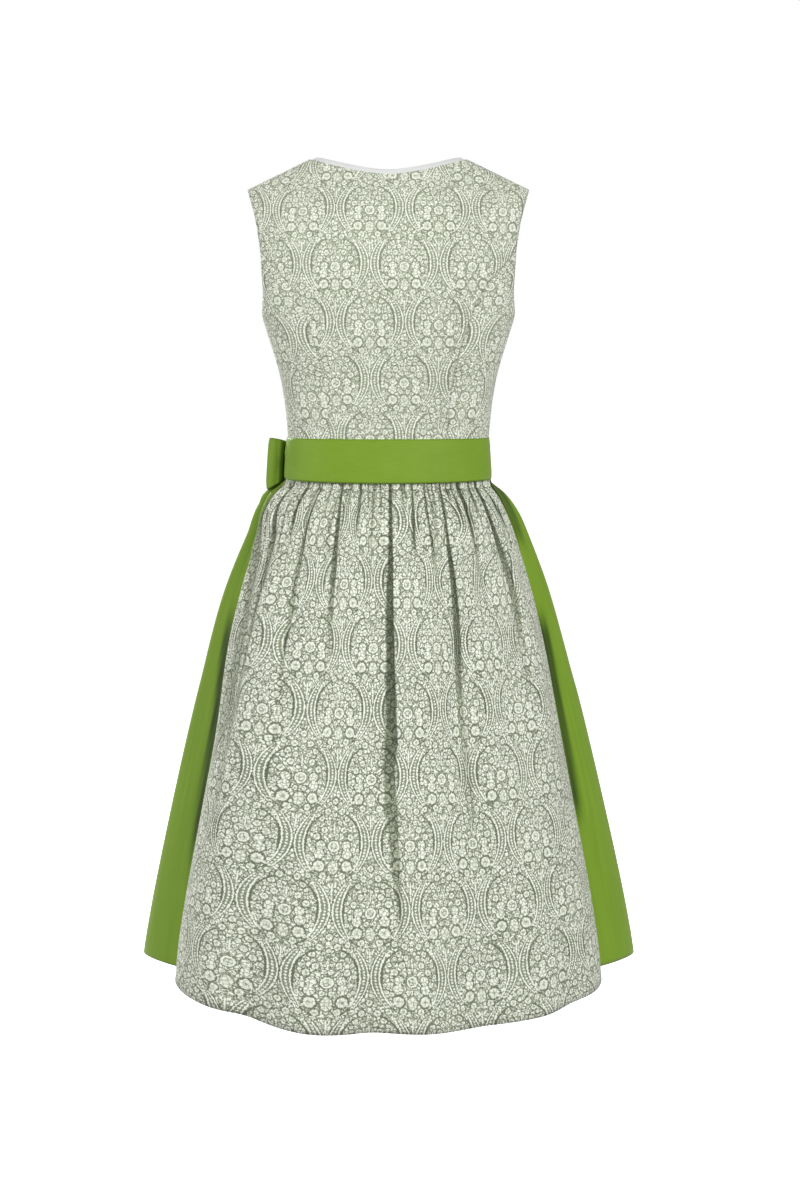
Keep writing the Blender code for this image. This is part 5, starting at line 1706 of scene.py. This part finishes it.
def knot_points(rows, columns):
    """A rounded pad with slanting creases; its outermost ring lies on the band."""
    points = []
    for row in range(rows + 1):
        line = []
        for column in range(columns + 1):
            up = min(max(2 * (row - 1) / (rows - 2) - 1, -1.0), 1.0)
            over = min(max(2 * (column - 1) / (columns - 2) - 1, -1.0), 1.0)
            z = BAND_MIDDLE_Z + up * KNOT_HALF_HEIGHT * (1 - 0.12 * over * over)
            angle = KNOT_ANGLE + over * KNOT_HALF_ANGLE * (1 - 0.10 * up * up)
            out = TIE_LIFT + WALL / 2
            if row not in (0, rows) and column not in (0, columns):
                dome = ((1 - abs(up) ** KNOT_SQUARENESS) ** 0.5
                        * (1 - abs(over) ** KNOT_SQUARENESS) ** 0.5)
                crease = math.sin(9.0 * over + 2.2 * up) + 0.6 * math.sin(15.0 * over - 3.0 * up)
                out += KNOT_BASE + KNOT_RISE * dome + KNOT_CREASE * crease * dome
            line.append(band_point(angle, z, out))
        points.append(line)
    return points


knot_piece = cover("bow_knot", knot_points(36, 36), green_satin, flip=True)
print("knot:", len(knot_piece.data.polygons), "faces")

# %% [markdown]
# The loops are drawn together at the knot, so creases fan out from it, and the strip's two
# layers stand apart at the far end of each loop. A table follows the strip out and back.

# %% Loops
LOOP_CREASE, LOOP_CREASE_REACH, LOOP_CROWN = 0.0016, 0.42, 0.0012
INNER_LAYER = -0.25      # the layer behind bends the other way, and less
Loop = namedtuple("Loop", "angle stand_off z_top z_bottom")
LOOP_SIDE = table_of(Loop, (
    (133.8, 0.0090, -0.388, -0.416), (126.0, 0.0170, -0.380, -0.424),
    (116.0, 0.0245, -0.374, -0.433), (106.5, 0.0284, -0.371, -0.439),
    (98.0, 0.0276, -0.371, -0.440), (95.2, 0.0226, -0.371, -0.438),
    (94.6, 0.0150, -0.371, -0.434), (95.4, 0.0080, -0.373, -0.430),
    (106.0, 0.0060, -0.376, -0.428), (120.0, 0.0050, -0.382, -0.424),
    (133.8, 0.0046, -0.388, -0.416),
))
LOOP_FRONT = table_of(Loop, (
    (146.2, 0.0090, -0.388, -0.416), (154.0, 0.0170, -0.381, -0.424),
    (165.0, 0.0240, -0.375, -0.432), (176.0, 0.0240, -0.373, -0.436),
    (183.0, 0.0190, -0.374, -0.435), (184.5, 0.0125, -0.375, -0.432),
    (181.0, 0.0072, -0.376, -0.429), (170.0, 0.0052, -0.379, -0.427),
    (158.0, 0.0048, -0.383, -0.423), (146.2, 0.0046, -0.388, -0.416),
))
Stop = namedtuple("Stop", "index angle stand_off z_top z_bottom")


def loop_place(table):
    stops = tuple(Stop(index, *loop) for index, loop in enumerate(table))
    last = len(table) - 1

    def place(down, over):
        index = over * last
        z_top = along(stops, index, "z_top")
        z_bottom = along(stops, index, "z_bottom")
        stand_off = along(stops, index, "stand_off")
        near_knot = 1 - smooth(0.0, LOOP_CREASE_REACH, min(over, 1 - over))
        fan = math.cos(math.pi * 5 * down) * 0.7 + math.cos(math.pi * 9 * down + 1.0) * 0.3
        crown = LOOP_CROWN * (1 - abs(2 * down - 1) ** 4)
        layer = 1.0 if over < 0.5 else INNER_LAYER
        stand_off += (LOOP_CREASE * near_knot * fan + crown) * layer
        return band_point(along(stops, index, "angle"), mix(z_top, z_bottom, down), stand_off)

    return place


LOOP_ROWS, LOOP_COLUMNS = 30, 150
# Painted shade in the side loop's open end: how dark, how wide and where.
HOLLOW_SHADE, HOLLOW_WIDTH, HOLLOW_MIDDLE = 0.34, 0.28, 0.52
HOLLOW_START, HOLLOW_FULL = 5.2, 6.6     # in the stops of the loop's table


def hollow_shade(down, over):
    """Painted shade: the middle of the side loop's open end is darkened, where its hollow is in
    shade.
    """
    into = smooth(HOLLOW_START, HOLLOW_FULL, over * (len(LOOP_SIDE) - 1))
    return HOLLOW_SHADE * into * bell(down - HOLLOW_MIDDLE, HOLLOW_WIDTH)


loop_side = add_strip("bow_loop_side", grid_points(loop_place(LOOP_SIDE), LOOP_ROWS, LOOP_COLUMNS),
                      grid_points(hollow_shade, LOOP_ROWS, LOOP_COLUMNS))
loop_front = add_strip("bow_loop_front",
                       grid_points(loop_place(LOOP_FRONT), LOOP_ROWS, LOOP_COLUMNS), flip=False)
print("loops:", len(loop_side.data.polygons) + len(loop_front.data.polygons), "faces")

# %% [markdown]
# A tail lies on the band, slides off it and hangs down the apron, whose shape it follows at
# a small distance. It widens as it leaves the knot, and its creases fade on the way.

# %% Tails
Tail = namedtuple("Tail", "z angle half_width stand_off")
TAIL_SIDE = table_of(Tail, (
    (-0.800, 127.5, 0.0270, 0.0080), (-0.700, 128.0, 0.0262, 0.0080),
    (-0.600, 128.8, 0.0250, 0.0084), (-0.520, 130.0, 0.0225, 0.0088),
    (-0.460, 132.6, 0.0150, 0.0084), (-0.4175, 136.6, 0.0062, 0.0050),
))
TAIL_FRONT = table_of(Tail, (
    (-0.765, 152.5, 0.0265, 0.0080), (-0.680, 152.2, 0.0260, 0.0080),
    (-0.600, 151.4, 0.0250, 0.0084), (-0.520, 150.0, 0.0225, 0.0088),
    (-0.460, 147.4, 0.0150, 0.0084), (-0.4175, 143.4, 0.0062, 0.0050),
))
TAIL_RIPPLE, TAIL_RIPPLE_START, TAIL_RIPPLE_FULL = 0.0016, -0.440, -0.520
TAIL_FAN, TAIL_FAN_START, TAIL_FAN_END = 0.0014, -0.440, -0.560
TAIL_SWAY = 0.0012


def over_apron(angle, z):
    """Point of the surface that a hanging tail lies on: the band and then the apron."""
    if z >= BAND_BOTTOM_Z:
        return band_point(angle, z)
    return apron_base(angle, z)[0]


def tail_place(table, phase):
    def place(up, over):
        z = mix(table[0].z, table[-1].z, up)
        angle = along(table, z, "angle")
        aside = over_apron(angle + 1, z) - over_apron(angle - 1, z)
        offset = (over - 0.5) * 2 * along(table, z, "half_width")
        spot = over_apron(angle + 2 * offset / aside.length, z)
        outward = skirt_section(angle, z)[1]
        grown = smooth(TAIL_RIPPLE_START, TAIL_RIPPLE_FULL, z)
        ripple = TAIL_RIPPLE * math.cos(2 * math.pi * over) * grown
        gone = smooth(TAIL_FAN_START, TAIL_FAN_END, z)
        fan = TAIL_FAN * math.cos(math.pi * 6 * over) * (1 - gone)
        sway = TAIL_SWAY * math.sin(z * 34.0 + phase + 2.0 * over) * grown
        return spot + outward * (along(table, z, "stand_off") + ripple + fan + sway)

    return place


tails = [add_strip(name, grid_points(tail_place(table, phase), 150, 28))
         for name, table, phase in (("bow_tail_side", TAIL_SIDE, 0.4),
                                    ("bow_tail_front", TAIL_FRONT, 2.1))]
print("tails:", sum(len(tail.data.polygons) for tail in tails), "faces")

# %% [markdown]
# ## Neck trim
#
# A narrow white strip is sewn inside the neckline and stands a few millimetres above it all
# the way round. It is made as one closed band that follows the neckline by its turn.

# %% Trim
TRIM_INSIDE, TRIM_TURN_INSIDE = 0.0020, 0.0009
TRIM_ABOVE, TRIM_BELOW = 0.0085, 0.0020
TRIM_CROWN, TRIM_WAVER = 0.0005, 0.0003


def neck_point(turn):
    x = NECK_HALF * math.sin(turn)
    side = BACK if math.cos(turn) >= 0 else FRONT
    return torso(x, neckline_z(x, side), side)


def neck_edge(turn):
    """Point of the neckline with the cloth's normal and its way up past the edge."""
    tiny = 1e-4
    side = BACK if math.cos(turn) >= 0 else FRONT
    edge = neck_point(turn)
    edge_way = (neck_point(turn + tiny) - neck_point(turn - tiny)).normalized()
    aside = abs(math.sin(turn))
    away_x = edge.x + math.copysign(tiny, edge.x) * aside
    away_z = neckline_z(edge.x, side) - tiny * (aside * SHOULDER_SHARE + abs(math.cos(turn)))
    away = torso(away_x, away_z, side) - edge
    away -= edge_way * away.dot(edge_way)
    normal = edge_way.cross(away).normalized()
    if normal.dot(Vector((0, side, 1))) < 0:
        normal.negate()
    return edge, normal, -away.normalized()


def trim_line(steps):
    """The neckline's edge, normal and way up, softened so that the strip runs on evenly."""
    line = [neck_edge(2 * math.pi * (step + 0.5) / steps) for step in range(steps)]
    soft = []
    for step in range(steps):
        near = [line[(step + shift) % steps] for shift in range(-3, 4)]
        normal = sum((entry[1] for entry in near), Vector()).normalized()
        upward = sum((entry[2] for entry in near), Vector()).normalized()
        soft.append((line[step][0], normal, upward))
    return soft


def trim_points(rows, columns):
    line = trim_line(columns)
    points = []
    for row in range(rows + 1):
        up = row / rows
        ring = []
        for column in range(columns + 1):
            edge, normal, upward = line[column % columns]
            under_lap = 1 - smooth(LAP_END, LAP_END * 2.2, abs(edge.x)) if edge.y < 0 else 0.0
            turning = smooth(0.85 * NECK_HALF, NECK_HALF, abs(edge.x))
            inside = TRIM_INSIDE + LAP_SINK * under_lap + TRIM_TURN_INSIDE * turning
            crown = (TRIM_CROWN * math.sin(math.pi * up)
                     + TRIM_WAVER * math.cos(column * math.pi / 2) * up)
            height = mix(-TRIM_BELOW, TRIM_ABOVE, up)
            ring.append(edge - normal * (inside - crown) + upward * height)
        points.append(ring)
    return points


trim_piece = cover("neck_trim", trim_points(10, 480), trim_cloth, closed=True,
                   flip=True, thick=STRIP_CLOTH)
print("trim:", len(trim_piece.data.polygons), "faces")

# %% [markdown]
# ## Buttons and their stitches
#
# Seven small horn buttons close the front. Each is a turned disc: a profile of a rim, a sunk
# middle and a flat underside, spun once round.

# %% Buttons
BUTTON_COUNT = SEAM_ROWS - 1
BUTTON_SEAT = 0.0005     # a button stands this far off the cloth


def lap_point(row):
    """Point of the right front on the centre line at a row."""
    z, _ = row_height_and_reach(row, FRONT, panel_top(0.0, FRONT))
    return torso(0.0, z, FRONT)


def button_place(index):
    """Matrix from a button's own frame, facing +Z, to its place on the front."""
    row = BUTTON_COUNT - index
    seat = lap_point(row).lerp(lap_point(row + 1), 0.5)
    up = (lap_point(row + 1) - lap_point(row)).normalized()
    normal = Vector((1, 0, 0)).cross(up).normalized()
    frame_axes = Matrix((Vector((1, 0, 0)), up, normal)).transposed().to_4x4()
    return Matrix.Translation(seat + normal * (WALL / 2 + BUTTON_SEAT)) @ frame_axes


BUTTON_PROFILE = (
    (0.0, 0.0), (0.0054, 0.0), (0.0062, 0.0004), (0.0065, 0.0012), (0.0063, 0.0020),
    (0.0058, 0.0025), (0.0052, 0.0026), (0.0047, 0.0022), (0.0041, 0.0017), (0.0, 0.0016),
)
buttons = []
for index in range(BUTTON_COUNT):
    bm = bmesh.new()
    verts = [bm.verts.new((radius, 0.0, height)) for radius, height in BUTTON_PROFILE]
    edges = [bm.edges.new(pair) for pair in zip(verts, verts[1:])]
    bmesh.ops.spin(bm, geom=verts + edges, cent=(0, 0, 0), axis=(0, 0, 1), angle=2 * math.pi,
                   steps=32, use_merge=True)
    bmesh.ops.remove_doubles(bm, verts=bm.verts, dist=MERGE)
    bmesh.ops.recalc_face_normals(bm, faces=bm.faces)
    bm.transform(button_place(index))
    button = add_piece(f"button_{index + 1}_horn", bm, button_horn)
    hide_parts(f"button_{index + 1}")
    buttons.append(button)
print(len(buttons), "buttons of", len(buttons[0].data.polygons), "faces")

# %% [markdown]
# Two bars of thread hold each button, and a ring of close stitches round a slit in the cloth
# is its buttonhole.

# %% Thread
THREAD, CORD = 0.0004, 0.0006    # radius of the sewing thread and of the buttonhole's edge
BAR_AWAY, BAR_HALF, BAR_TOP, BAR_DIP = 0.0010, 0.0016, 0.0021, 0.0008
HOLE_HALF, HOLE_REACH, HOLE_SINK = 0.0014, 0.0072, 0.0004
BAR_STEPS, HOLE_STEPS = 6, 24


def add_thread(name, paths, radius, closed):
    """Thin thread along several short paths, as one curve."""
    curve = bpy.data.curves.new(name, "CURVE")
    curve.dimensions = "3D"
    curve.bevel_depth = radius
    curve.bevel_resolution = 2
    for path in paths:
        spline = curve.splines.new("POLY")
        spline.points.add(len(path) - 1)
        for target, point in zip(spline.points, path):
            target.co = (*point, 1.0)
        spline.use_cyclic_u = closed
    curve.materials.append(sage_thread)
    thread = bpy.data.objects.new(name, curve)
    bpy.context.scene.collection.objects.link(thread)
    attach(thread, "root")
    return thread


def button_stitches(index):
    """Two bars of thread over a button's middle, each dipping at its ends."""
    place = button_place(index)
    bars = []
    for side in (-1, 1):
        bar = []
        for step in range(BAR_STEPS + 1):
            run = 2 * step / BAR_STEPS - 1
            height = BAR_TOP - BAR_DIP * abs(run) ** 4
            bar.append(place @ Vector((side * BAR_AWAY, run * BAR_HALF, height)))
        bars.append(bar)
    return bars


def buttonhole(index):
    """An upright slit's edge: two straights and two round ends, just above the cloth."""
    place = button_place(index)
    ring = []
    for step in range(HOLE_STEPS):
        turn = 2 * math.pi * step / HOLE_STEPS
        x = HOLE_HALF * math.cos(turn)
        y = HOLE_REACH * math.copysign(1, math.sin(turn)) * min(abs(math.sin(turn)) * 1.8, 1.0)
        ring.append(place @ Vector((x, y + HOLE_HALF * math.sin(turn), -HOLE_SINK)))
    return ring


add_thread("button_thread", [bar for i in range(BUTTON_COUNT) for bar in button_stitches(i)],
           THREAD, False)
add_thread("buttonhole_thread", [buttonhole(i) for i in range(BUTTON_COUNT)], CORD, True)
print("thread on", BUTTON_COUNT, "buttons")

# %% [markdown]
# ## What each cloth was cut to
#
# A fitted panel's cut is its own flat map. The skirt's widths and the apron's were level
# rectangles before they were gathered, so theirs are stated.

# %% Cuts
def flat_size(piece):
    """Width and length of a piece's flat map, and the area of the cloth."""
    layer = piece.data.uv_layers["cloth"].uv
    us = [entry.vector.x for entry in layer]
    vs = [entry.vector.y for entry in layer]
    area = sum(face.area for face in piece.data.polygons)
    return max(us) - min(us), max(vs) - min(vs), area


LEAST_COVERED = 0.31     # the smallest share of its box that a cut may cover
SKIRT_BACK_CUT, SKIRT_FRONT_CUT, APRON_CUT = (0.81, 0.72), (0.86, 0.72), (0.88, 0.68)


def declare_cut(piece):
    """Prints the flat size of a cloth that lies as it was cut, and its area kept within that size.
    """
    width, length, area = flat_size(piece)
    area = min(max(area, LEAST_COVERED * width * length), width * length)
    print(f"{piece.name}: {width:.3f} x {length:.3f} m, {area:.4f} square metres")


for piece in bodice_pieces:
    declare_cut(piece)
declare_cut(trim_piece)
declare_cut(band_piece)
declare_cut(tie_piece)
declare_cut(loop_side)
declare_cut(loop_front)
for tail in tails:
    declare_cut(tail)
for piece, cut, waist in ((skirt_back, SKIRT_BACK_CUT, "back_centre_cloth"),
                          (skirt_front, SKIRT_FRONT_CUT, "front_left_cloth"),
                          (apron_piece, APRON_CUT, "apron_waistband_cloth")):
    print(piece.name, "cut", cut, "and hangs as", round(flat_size(piece)[2], 3), "square metres")
